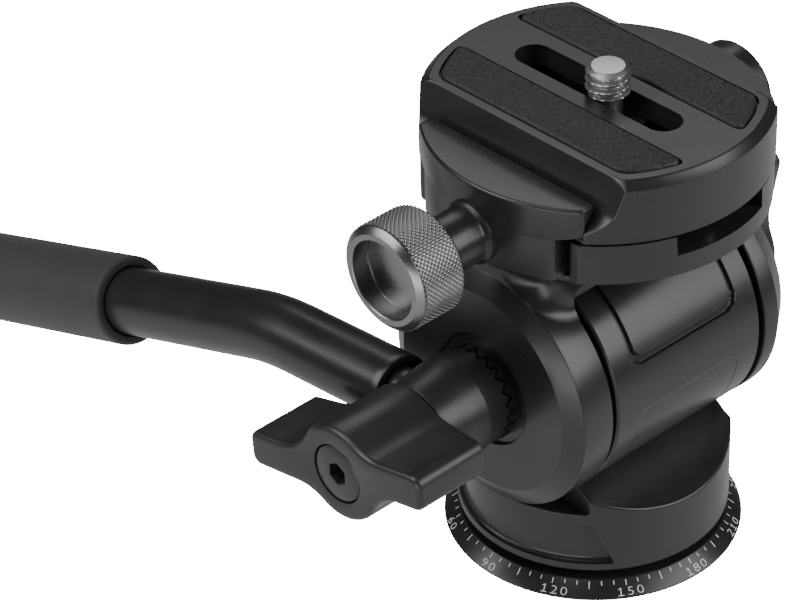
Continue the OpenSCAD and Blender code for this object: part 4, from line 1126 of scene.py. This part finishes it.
# %% Plate
plate_r = plate_high[1]
plate_top = plate_high[2]
plate_z = plate_low[2]
PLATE_HALF, FLANK_DRAFT = 14.75, 0.26
HOLLOW_TOP, HOLLOW_OUT = 68.5, 2.17
PLATE_BEVEL = 1.25
FLANK_CORNER, TOP_CORNER, TOP_EDGE = 0.35, 2.0, 0.2
FOOT_BREAK, TOP_INSET, SLOT_ROUND = 0.25, 0.2, 0.35
BREAK, BREAK_DROP = 0.06, 0.1
EDGE_GAP, HOLLOW_START, HOLLOW_ROWS, SLOT_ROWS = 0.15, 0.8, 16, 5
WELL_HALF, WELL_TOP = 6.0, 69.6


def flank(height):
    """Half the plate's width at a height: a drafted side, then a hollow that sweeps out as a square."""
    share = np.clip((HOLLOW_TOP - height) / (HOLLOW_TOP - EDGE_Z), 0, 1)
    swept = PLATE_HALF + FLANK_DRAFT * (plate_top - height) + HOLLOW_OUT * share ** 2
    return np.minimum(dovetail_half, swept)


def plate_grid():
    """Outlines up the outside, over the top, down the slot and back below."""
    heights = np.concatenate([
        [plate_z, plate_z + FOOT_BREAK, EDGE_Z - EDGE_GAP, EDGE_Z + EDGE_GAP],
        np.linspace(EDGE_Z + HOLLOW_START, plate_top - PLATE_BEVEL, HOLLOW_ROWS)])
    foot = FOOT_BREAK * (heights < plate_z + FOOT_BREAK / 2)
    rows = [(disc_outline(plate_r - d, flank(h) - d, FLANK_CORNER), h) for h, d in zip(heights, foot)]
    turn = np.radians(np.linspace(0, 90, SLOT_ROWS))
    bevel = [(0.0, PLATE_BEVEL - BREAK), (BREAK, PLATE_BEVEL - BREAK_DROP),
             (PLATE_BEVEL - BREAK - TOP_EDGE, TOP_EDGE), (PLATE_BEVEL - 2 * BREAK, BREAK), (PLATE_BEVEL, 0.0)]
    for inset, drop in bevel:
        near = TOP_EDGE * max(0, 1 - drop / TOP_EDGE)
        corner = FLANK_CORNER + (TOP_CORNER - FLANK_CORNER) * inset / PLATE_BEVEL
        rows.append((disc_outline(plate_r - inset, flank(plate_top - drop) - near, corner), plate_top - drop))
    inner = disc_outline(plate_r - PLATE_BEVEL - TOP_INSET, PLATE_HALF - TOP_EDGE - TOP_INSET, TOP_CORNER)
    rows.append((inner, plate_top))
    for t in turn[::-1]:
        wider, drop = SLOT_ROUND * math.cos(t), SLOT_ROUND * (1 - math.sin(t))
        rows.append((slot_outline(SLOT_HALF + wider), plate_top - drop))
    rows.append((slot_outline(SLOT_HALF), WELL_TOP))
    rows += [(slot_outline(WELL_HALF), height) for height in (WELL_TOP, plate_z)]
    return np.stack([np.insert(outline, 2, height, axis=1) for outline, height in rows])


plate = shell("camera_plate", plate_grid(), ring=True)
print("plate faces:", len(plate.data.polygons))

# %% [markdown]
# ## Rubber pads
#
# Each pad is a strip of pebbled rubber whose ends follow a circle. It is a grid across and along:
# the ends shorten towards the rounded corners, the rim drops to the seat, and the top is pressed
# into small pebbles. A Displace modifier with a cell texture would raise pebbles too, but it would
# also push the rim about. Here each cell of a square net holds one seed, moved by a formula of the
# cell's numbers, and the height falls with the distance to the nearest seed, so nine neighbouring
# cells are enough to look at.

# %% Plan and pebbles of a pad
pad_low, pad_high = node_box("pad_right")
PAD_END_R, PAD_CORNER, PAD_ROUND = 22.0, 1.3, 0.45
PAD_SEAT_GAP, PAD_LIFT = 0.28, 0.02
PAD_STEPS, SEAT_STEPS = (76, 380), (24, 2)
PEBBLE, PEBBLE_H, PEBBLE_FALL, JITTER = 0.62, 0.17, 1.3, 0.6
# Numbers without a common measure, which scatter the seeds
MIX_X, MIX_Y, MIX_GAIN = (127.1, 311.7), (269.5, 183.3), 43758.5
EVEN_SHARE = 0.6
pad_bottom = pad_low[2] + PAD_LIFT


def pad_plan(grow, across_steps, along_steps):
    """Points of a pad's plan, across and along, and each point's distance from the rim."""
    low, high = pad_low[0] - grow, pad_high[0] + grow
    share = np.linspace(0, 1, across_steps)
    share = (ramp(share, 0, 1) + share) / 2
    x = low + (high - low) * share
    side = np.minimum(x - low, high - x)
    corner = PAD_CORNER - np.sqrt(np.maximum(PAD_CORNER ** 2 - np.maximum(PAD_CORNER - side, 0) ** 2, 0))
    reach = np.sqrt((PAD_END_R + grow) ** 2 - x * x) - corner
    way = np.sin(np.linspace(-np.pi / 2, np.pi / 2, along_steps))
    way = np.linspace(-1, 1, along_steps) * EVEN_SHARE + way * (1 - EVEN_SHARE)
    y = reach[:, None] * way
    return x[:, None] + 0 * y, y, np.minimum(side[:, None], reach[:, None] - np.abs(y))


def to_seed(x, y):
    """Distance to the nearest seed, in cells: the seed's place in a cell is the fraction of a large sine."""
    place = np.stack([x, y]) / PEBBLE
    cell = np.floor(place)
    nearest_yet = np.full(x.shape, np.inf)
    for step in np.ndindex(3, 3):
        home = cell + np.array(step)[:, None, None] - 1
        mix = np.stack([x_gain * home[0] + y_gain * home[1] for x_gain, y_gain in (MIX_X, MIX_Y)])
        seed = home + 0.5 + JITTER * ((np.sin(mix) * MIX_GAIN) % 1 - 0.5)
        nearest_yet = np.minimum(nearest_yet, np.hypot(*(place - seed)))
    return nearest_yet


print("width of a pad:", round(pad_high[0] - pad_low[0], 2))

# %% Pads and their seats
CUT_ABOVE = 2


def pad_piece(name, side):
    """The pebbled top and the flat underside, which meet along the rim."""
    x, y, rim = pad_plan(0, *PAD_STEPS)
    edge = np.sqrt(np.maximum(1 - (1 - np.clip(rim / PAD_ROUND, 0, 1)) ** 2, 0))
    top = pad_high[2] - PEBBLE_H * np.clip(PEBBLE_FALL * to_seed(x, y), 0, 1) ** 2
    z = pad_bottom + (top - pad_bottom) * edge
    rows, cols = x.shape
    grid = np.concatenate([np.stack([side * x, y, height], -1) for height in (z, 0 * z + pad_bottom)])
    row, col = np.meshgrid(np.arange(rows - 1), np.arange(cols - 1), indexing="ij")
    first = (row * cols + col).ravel()
    top_faces = np.stack([first, first + 1, first + cols + 1, first + cols], 1)
    return piece_from(name, grid, np.vstack([top_faces, top_faces[:, ::-1] + rows * cols]).tolist())


def pad_seat(side):
    """A cutter of the pad's plan with a little room round it."""
    x, y, _ = pad_plan(PAD_SEAT_GAP, *SEAT_STEPS)
    plan = np.vstack([np.stack([x[:, 0], y[:, 0]], 1), np.stack([x[:, 1], y[:, 1]], 1)[::-1]])
    return carried("seat", plan * [side, 1], pad_low[2], plate_top + CUT_ABOVE, "z")


carve(plate, pad_seat(1), pad_seat(-1))
smooth(plate.data)
stand_for(plate, "quick_release_plate")
for name, side in (("pad_right", 1), ("pad_left", -1)):
    pad = stand_for(pad_piece(name + "_rubber", side), name)
print("faces of a pad:", len(pad.data.polygons))

# %% [markdown]
# ## Camera screw
#
# The screw that holds the camera has a 1/4 inch thread. The Screw modifier winds a thread, but
# leaves cut ends, so the thread is one more radius over angle and height. A point's place in the
# thread is its height in pitches less its share of a turn, so the crest climbs one pitch in each
# turn. The crest runs out into the chamfered top and the thin waist.

# %% Camera screw
screw_low, screw_high = node_box("camera_screw")
screw_y = (screw_low[1] + screw_high[1]) / 2
SCREW_R, ROOT_R, PITCH = 3.175, 2.45, 1.27
WAIST_R, WAIST_TOP = 2.1, 72.5
HEAD_TOP = 68.8
TOP_R, CROWN_SLOPE = 2.45, 1.6
COIN_HALF, COIN_DEPTH, COIN_L, CUT_BELOW = 0.7, 1.5, 10, 1
# The slope of the thread's sides, the width of its crests and the depth of its roots
CREST_STEEP, CREST_WIDE, CREST_LOW = 1.5, 1.25, 0.45
HEAD_ROUND, CROWN_ROUND = [0, 0.4, 0.3, 0.2, 0], 0.05
THREAD_END, CROWN_END, CROWN_IN, CROWN_SINK, WAIST_GAP = 0.1, 0.08, 0.1, 0.05, 0.02


def threaded(radius, root, low, high, cols, per_pitch=20):
    """Rows of (radius, place) of a thread with flat crests and roots between two places."""
    place = np.linspace(low, high, int((high - low) / PITCH * per_pitch))[:, None]
    share = (place / PITCH - np.arange(cols) / cols) % 1
    crest = np.clip(CREST_STEEP * (1 - np.abs(2 * share - 1)) * CREST_WIDE - CREST_LOW, 0, 1)
    return np.stack([root + (radius - root) * crest, place + 0 * crest], -1)


SCREW_COLS = 96
head_z, tip_z = screw_low[2], screw_high[2]
head_r = screw_high[0]
thread = threaded(SCREW_R, ROOT_R, WAIST_TOP, tip_z - THREAD_END, SCREW_COLS)
crown_r = TOP_R + CROWN_SLOPE * (tip_z - thread[..., 1] - CROWN_SINK)
run_out = np.minimum(crown_r, thread[..., 1] - WAIST_TOP + WAIST_R)
thread[..., 0] = np.minimum(thread[..., 0], np.maximum(run_out, WAIST_R))
head = rounded([
    (0, head_z), (head_r, head_z), (head_r, HEAD_TOP), (WAIST_R, HEAD_TOP), (WAIST_R, WAIST_TOP - WAIST_GAP)],
    HEAD_ROUND)
crown = rounded([(TOP_R, tip_z - CROWN_END), (TOP_R - CROWN_IN, tip_z), (0, tip_z)], CROWN_ROUND)
screw_profile = np.concatenate([even(head, SCREW_COLS), thread, even(crown, SCREW_COLS)])
screw = turned("camera_screw_threaded", screw_profile, "z", (0, screw_y, 0), cols=SCREW_COLS)
coin_y = (screw_y - COIN_HALF, screw_y + COIN_HALF)
carve(screw, block((-COIN_L, COIN_L), coin_y, (head_z - CUT_BELOW, head_z + COIN_DEPTH)))
smooth(screw.data)
stand_for(screw, "camera_screw")
print("screw faces:", len(screw.data.polygons))

# %% [markdown]
# ## Rosette and hub
#
# The pan bar can be set in steps of one tooth: two rings of 21 face teeth mesh, one on the cheek
# and one on the hub. A tooth could be made once and copied round the axis, but the copies would
# have to be joined to the ring. A tooth here is a triangle wave round the axis, added to the place
# of the rows between the teeth's inner and outer radius. The hub swells behind its teeth to a soft
# crease and tapers from there to the wing knob.

# %% Toothed ring and hub
rosette_low, rosette_high = node_box("rosette_ring")
hub_low, hub_high = node_box("handle_hub")
TEETH = 21
TOOTH_STEPS = 8
TOOTH_H, TOOTH_L, TOOTH_FILL = 1.3, 1.4, 0.92
NOSE_R, CREASE_X, TAIL_R = 6.95, 28.2, 6.5
NOSE_ROUND = [0, 0.4, 5, 0.3, 0]
SWELL_IN, SWELL_L, TAIL_END = 0.1, 2.2, 0.3
LAND = 0.05
RING_TOOTHED, HUB_TOOTHED = [3, 4], [2, 3]
SMOOTH_STEPS = 8
rosette_r = rosette_high[1]
HUB_BORE = 3.4
RING_SHIFT, HUB_SHIFT = 0.259, 0.759
tooth_cols = TEETH * TOOTH_STEPS


def teeth(profile, toothed, reach, shift):
    """A profile over the columns, with a triangle wave added to the places of its toothed rows."""
    wave = np.abs(((np.arange(tooth_cols) / TOOTH_STEPS + shift) % 1) * 2 - 1)
    grid = even(profile, tooth_cols)
    grid[toothed, :, 1] += reach * wave
    return grid


root_x = rosette_high[0] - TOOTH_H
tooth_in, tooth_reach = rosette_r - TOOTH_L, TOOTH_H * TOOTH_FILL
ring_profile = [
    (HUB_BORE, rosette_low[0]), (HUB_BORE, root_x), (tooth_in, root_x), (tooth_in, root_x),
    (rosette_r, root_x), (rosette_r, root_x - LAND), (rosette_r, rosette_low[0])]
ring_teeth = teeth(ring_profile, RING_TOOTHED, tooth_reach, RING_SHIFT)
rosette = turned("rosette_teeth", ring_teeth, "x", tilt_axis, cols=tooth_cols, ring=True)
stand_for(rosette, "rosette_ring")

hub_root = hub_low[0] + TOOTH_H
hub_r = hub_high[1]
nose = rounded([
    (NOSE_R, hub_root + 2 * LAND), (hub_r, CREASE_X), (hub_r - SWELL_IN, CREASE_X + SWELL_L),
    (TAIL_R, hub_high[0] - TAIL_END), (HUB_BORE, hub_high[0])], NOSE_ROUND, steps=SMOOTH_STEPS)
hub_profile = np.vstack([[
    (HUB_BORE, hub_root), (tooth_in, hub_root), (tooth_in, hub_root), (NOSE_R, hub_root),
    (NOSE_R, hub_root + LAND)], nose])
hub_teeth = teeth(hub_profile, HUB_TOOTHED, -tooth_reach, HUB_SHIFT)
hub = turned("bar_hub", hub_teeth, "x", tilt_axis, cols=tooth_cols, ring=True)
stand_for(hub, "handle_hub")
print("hub faces:", len(hub.data.polygons))

# %% [markdown]
# ## Pan bar and grip
#
# The bar is a tube with one bend. A curve with a round bevel would give its outside, but no bore.
# Its centre line has a closed formula: the direction turns evenly inside the bend, so the way along
# it is a sine and a cosine of that direction. A circle square to the line, with a radius for every
# station, gives the tube's outside and, on the way back, its bore. The grip is the same line with
# other radii.

# %% Centre line of the bar
bar_low, bar_high = node_box("pan_bar")
bar_x = (bar_low[0] + bar_high[0]) / 2
BAR_COLS = 72
BAR_REACH, BEND_R = 35.0, 42.0
DROP, BEND = math.radians(5.4), math.radians(14)
straight = BAR_REACH - BEND_R * math.tan(BEND / 2)
bend_end = straight + BEND_R * BEND


def along_bar(name, stations, radii, ring=True):
    """A circle carried along the bar's centre line: stations are distances from the hub's axis."""
    s, radius = np.asarray(stations, float), np.asarray(radii, float)
    lean = DROP + np.clip((s - straight) / BEND_R, 0, BEND)
    first, last = np.minimum(s, straight), np.maximum(s - bend_end, 0)
    y = -first * math.cos(DROP) - BEND_R * (np.sin(lean) - math.sin(DROP)) - last * math.cos(DROP + BEND)
    z = -first * math.sin(DROP) + BEND_R * (np.cos(lean) - math.cos(DROP)) - last * math.sin(DROP + BEND)
    turn = np.linspace(0, 2 * np.pi, BAR_COLS, endpoint=False)
    side, rise = radius[:, None] * np.cos(turn), radius[:, None] * np.sin(turn)
    grid = np.stack([bar_x + side, y[:, None] - rise * np.sin(lean)[:, None],
                     TILT_Z + z[:, None] + rise * np.cos(lean)[:, None]], -1)
    return shell(name, grid, ring)


print("the bend lies between", round(straight, 1), "and", round(bend_end, 1))

# %% Bar, spigot and grip
BAR_R, BAR_WALL, BAR_START = 5.2, 1.2, 8.5
GRIP_START, GRIP_L, GRIP_R = 35.5, 105.0, 6.9
GRIP_ROUND = [0.2, 0.3, 1.9, 3.0, 0]
GRIP_MOUTH, GRIP_LIP, GRIP_FLOOR, TUBE_SHORT = 1.2, 0.25, 3.9, 4
SPIGOT_R, SPIGOT_START, SPIGOT_END, SPIGOT_TIP = 3.6, 4.8, 20.4, 20.8
SPIGOT_ROUND = [0, 0.6, 0.6, 0]
SLIP = 0.02
# The broken edge at the tube's mouth, outside and inside: ways in, and what the radius loses or gains
TUBE_LIP, BORE_LIP = np.array([(0, 0.3), (0.08, 0.1)]), np.array([(0.1, 0.08), (0, 0.3)])
RUN_START, PLAIN_START = 0.3, 1.5
RUN_ROWS, BEND_ROWS = 4, 16
grip_at = bend_end + GRIP_START - BEND_R * math.tan(BEND / 2)
grip_end = grip_at + GRIP_L
run = np.concatenate([
    [BAR_START + RUN_START], np.linspace(BAR_START + PLAIN_START, straight, RUN_ROWS),
    np.linspace(straight, bend_end, BEND_ROWS)[1:], [grip_at, grip_end - TUBE_SHORT]])
bore = BAR_R - BAR_WALL
stations = np.concatenate([BAR_START + TUBE_LIP[:, 0], run, run[::-1], BAR_START + BORE_LIP[:, 0]])
radii = np.concatenate([
    BAR_R - TUBE_LIP[:, 1], np.full(len(run), BAR_R), np.full(len(run), bore), bore + BORE_LIP[:, 1]])
tube = along_bar("pan_bar_tube", stations, radii)
stand_for(tube, "pan_bar")

spigot_profile = rounded([
    (SPIGOT_START, 0), (SPIGOT_START, SPIGOT_R), (SPIGOT_END, SPIGOT_R), (SPIGOT_TIP, 0)], SPIGOT_ROUND)
spigot = along_bar("tube_spigot", *spigot_profile.T, ring=False)
stand_for(spigot, "bar_spigot", FINISH["black_steel"])

grip_profile = rounded([
    (grip_at + GRIP_MOUTH, BAR_R + SLIP), (grip_at, BAR_R + GRIP_LIP), (grip_at, GRIP_R), (grip_end, GRIP_R),
    (grip_end, 0.0)], GRIP_ROUND, steps=SMOOTH_STEPS)
grip_inside = [(grip_end - GRIP_FLOOR, 0.0), (grip_end - GRIP_FLOOR, BAR_R + SLIP)]
grip = along_bar("grip_sleeve", *np.vstack([grip_inside, grip_profile]).T)
stand_for(grip, "grip")
print("bar length:", round(grip_end, 1))

# %% [markdown]
# ## Wing knobs
#
# Each wing knob is a moulding with a round middle and two wings, joined by hollows. A Bevel round
# such an outline is uneven where a tight tip meets a wide hollow, so the outline is built from arcs
# that touch: the tip's two corners, the long sides, the hollow and the middle. Because touching
# arcs stay touching when all of them move inwards, the same formula with an inset gives the rounded
# edges. The wings' backs draw away from the hub, both tips lie a little to one side, and the bolt's
# head lies in a round recess of the front face.

# %% Outline of the wings
wing_low, wing_high = node_box("wing_knob")
lock_low, lock_high = node_box("lock_wing")
MIDDLE_R = 7.3
ROOT_AT, ROOT_WING_R = np.array([8, 3.1]), 2.8
TIP_LOW, TIP_HIGH, TIP_R = np.array([15.7, 3.5]), np.array([15.5, 5.8]), 1.6
HOLLOW_R = 8.0
WING_ROUND, WING_TAPER, WING_SHIFT = 0.9, 1.8, 0.8
ARC_STEPS, TIP_STEPS = 14, 9


def unit(degrees):
    """A unit vector at an angle."""
    return np.array([math.cos(math.radians(degrees)), math.sin(math.radians(degrees))])


def hollow(side, normal):
    """Centre of the arc that touches a wing's side from outside and the middle circle."""
    reach = MIDDLE_R + HOLLOW_R
    start = ROOT_AT + (ROOT_WING_R + HOLLOW_R) * unit(normal)
    way = unit(normal - 90 * side)
    along = start @ way
    return start + way * (math.sqrt(along ** 2 - start @ start + reach ** 2) - along)


def nearest(angle, start):
    """The same angle, less than half a turn from another."""
    return start + (angle - start + 180) % 360 - 180


def side_normal(tip, side):
    """The angle of the outward normal of the line that touches a wing's root and one corner of its tip."""
    lean = math.degrees(math.acos((ROOT_WING_R - TIP_R) / np.linalg.norm(tip - ROOT_AT)))
    return bearing(tip - ROOT_AT) + side * lean


def wing_outline(inset):
    """Two wings round a middle: hollow, tip corners, hollow and middle, and the same again half a turn on."""
    below, above = side_normal(TIP_LOW, -1), side_normal(TIP_HIGH, 1)
    low, high = hollow(-1, below), hollow(1, above)
    first, last = bearing(-low), bearing(-high)
    half = np.vstack([
        arc(low, HOLLOW_R + inset, first, nearest(below + 180, first), ARC_STEPS),
        arc(TIP_LOW, TIP_R - inset, below, 0, TIP_STEPS),
        arc(TIP_HIGH, TIP_R - inset, 0, above, TIP_STEPS),
        arc(high, HOLLOW_R + inset, nearest(above + 180, last), last, ARC_STEPS),
        arc((0, 0), MIDDLE_R - inset, bearing(high), nearest(bearing(-low), bearing(high)), ARC_STEPS)[1:-1]])
    return np.vstack([half, -half])


print("points round the wings:", len(wing_outline(0)))

# %% Wing knobs
# The recess's edge is broken in three rows: how much wider each is, and how deep it lies
RECESS_R, RECESS_EDGE = 4.5, [(0.2, 0), (0.03, 0.06), (0, 0.25)]
FOOT_BEND, BORE_GAP = 0.3, 0.05
SHANK_R, BOLT_HEAD, BOLT_SINK = 3.0, 3.0, 0.4
LOCK_TURN = math.radians(90)


def wing_piece(name, low, high, turn, flip):
    """Outlines up the side, over the rounded edge, across the face and into the bolt's recess."""
    thick = high - low
    bend = np.radians(np.linspace(0, 90, BEND_STEPS))
    foot = [(FOOT_BEND * (1 - math.sin(t)), FOOT_BEND * (1 - math.cos(t))) for t in bend]
    brow = [(WING_ROUND * (1 - math.cos(t)), thick - WING_ROUND * (1 - math.sin(t))) for t in bend]
    rows = [(wing_outline(inset), height) for inset, height in foot + brow]
    angle = np.arctan2(rows[0][0][:, 1], rows[0][0][:, 0])
    ring = np.stack([np.cos(angle), np.sin(angle)], 1)
    seat, bore = thick - (BOLT_SINK + BOLT_HEAD), SHANK_R + BORE_GAP
    rows += [((RECESS_R + wider) * ring, thick - drop) for wider, drop in RECESS_EDGE]
    rows += [(radius * ring, height) for radius, height in ((RECESS_R, seat), (bore, seat), (bore, 0))]
    rows.append((wing_outline(FOOT_BEND), 0))
    flat = np.stack([np.insert(outline, 2, height, axis=1) for outline, height in rows])
    far_out = ramp(np.hypot(flat[..., 0], flat[..., 1]), MIDDLE_R, TIP_HIGH[0])
    flat[..., 2] += WING_TAPER * far_out * (1 - flat[..., 2] / thick)
    flat[..., 0] -= WING_SHIFT * far_out
    c, s = math.cos(turn), math.sin(turn)
    across, rise = (-flat[..., 0], flat[..., 1]) if flip else (flat[..., 0], flat[..., 1])
    x = high - flat[..., 2] if flip else low + flat[..., 2]
    return shell(name, np.stack([x, c * across - s * rise, TILT_Z + s * across + c * rise], -1), ring=True)


wing = wing_piece("wing_knob_moulded", wing_low[0], wing_high[0], 0.0, False)
stand_for(wing, "wing_knob")
lock = wing_piece("lock_wing_moulded", lock_low[0], lock_high[0], LOCK_TURN, True)
stand_for(lock, "lock_wing")
print("wing faces:", len(wing.data.polygons))

# %% Bolts of the wing knobs
BOLT_R, HEX_HALF, HEX_DEPTH, FLUSH = 4.3, 1.5, 2.0, 0.35
BOLT_ROUND = [0, 0.15, 0.1, 0, 0.1, 0]
HEAD_BREAK, TIP_BREAK, HEX_POINT, HEX_BREAK = (0.3, 0.2), 0.4, 0.5, 0.1
BOLT_STEP = 3.0


def bolt(node, inward):
    """A bolt with a six-sided key hole in its head: the hole's radius is its half width over a cosine."""
    low, high = node_box(node)
    face, length = (high[0] if inward < 0 else low[0]) - inward * FLUSH, high[0] - low[0]
    turn = np.radians(np.arange(0, 360, BOLT_STEP))
    hexagon = HEX_HALF / np.cos((turn + np.pi / 6) % (np.pi / 3) - np.pi / 6)
    head = rounded([
        (BOLT_R - HEAD_BREAK[0], 0), (BOLT_R, HEAD_BREAK[1]), (BOLT_R, BOLT_HEAD), (SHANK_R, BOLT_HEAD),
        (SHANK_R, length - TIP_BREAK), (SHANK_R - TIP_BREAK, length)], BOLT_ROUND)
    rows = [(0 * turn, HEX_DEPTH + HEX_POINT), (hexagon, HEX_DEPTH), (hexagon, HEX_BREAK),
            (hexagon + HEX_BREAK, 0)]
    rows += [(radius + 0 * turn, depth) for radius, depth in head]
    radius = np.stack([row for row, _ in rows])
    x = face + inward * np.array([depth for _, depth in rows])[:, None] + 0 * turn
    grid = np.stack([x, radius * np.cos(turn), TILT_Z + radius * np.sin(turn)], -1)
    return shell(node + "_turned", grid)


for node, inward in (("wing_bolt", -1), ("lock_bolt", 1)):
    key_bolt = stand_for(bolt(node, inward), node)
print("faces of a bolt:", len(key_bolt.data.polygons))

# %% [markdown]
# ## The pieces that stay as they are
#
# Washers, bushes, drag discs, pins and screws are right as the CAD made them, and most are hidden.
# They keep their solids and take the finish of their slot.

# %% Finish the remaining CAD pieces
kept = [node for node, piece in frame["nodes"].items() if not piece.hide_render]
for node in kept:
    frame["nodes"][node].data.materials.clear()
    frame["nodes"][node].data.materials.append(FINISH[SLOT[node]])
print("kept CAD pieces:", len(kept))
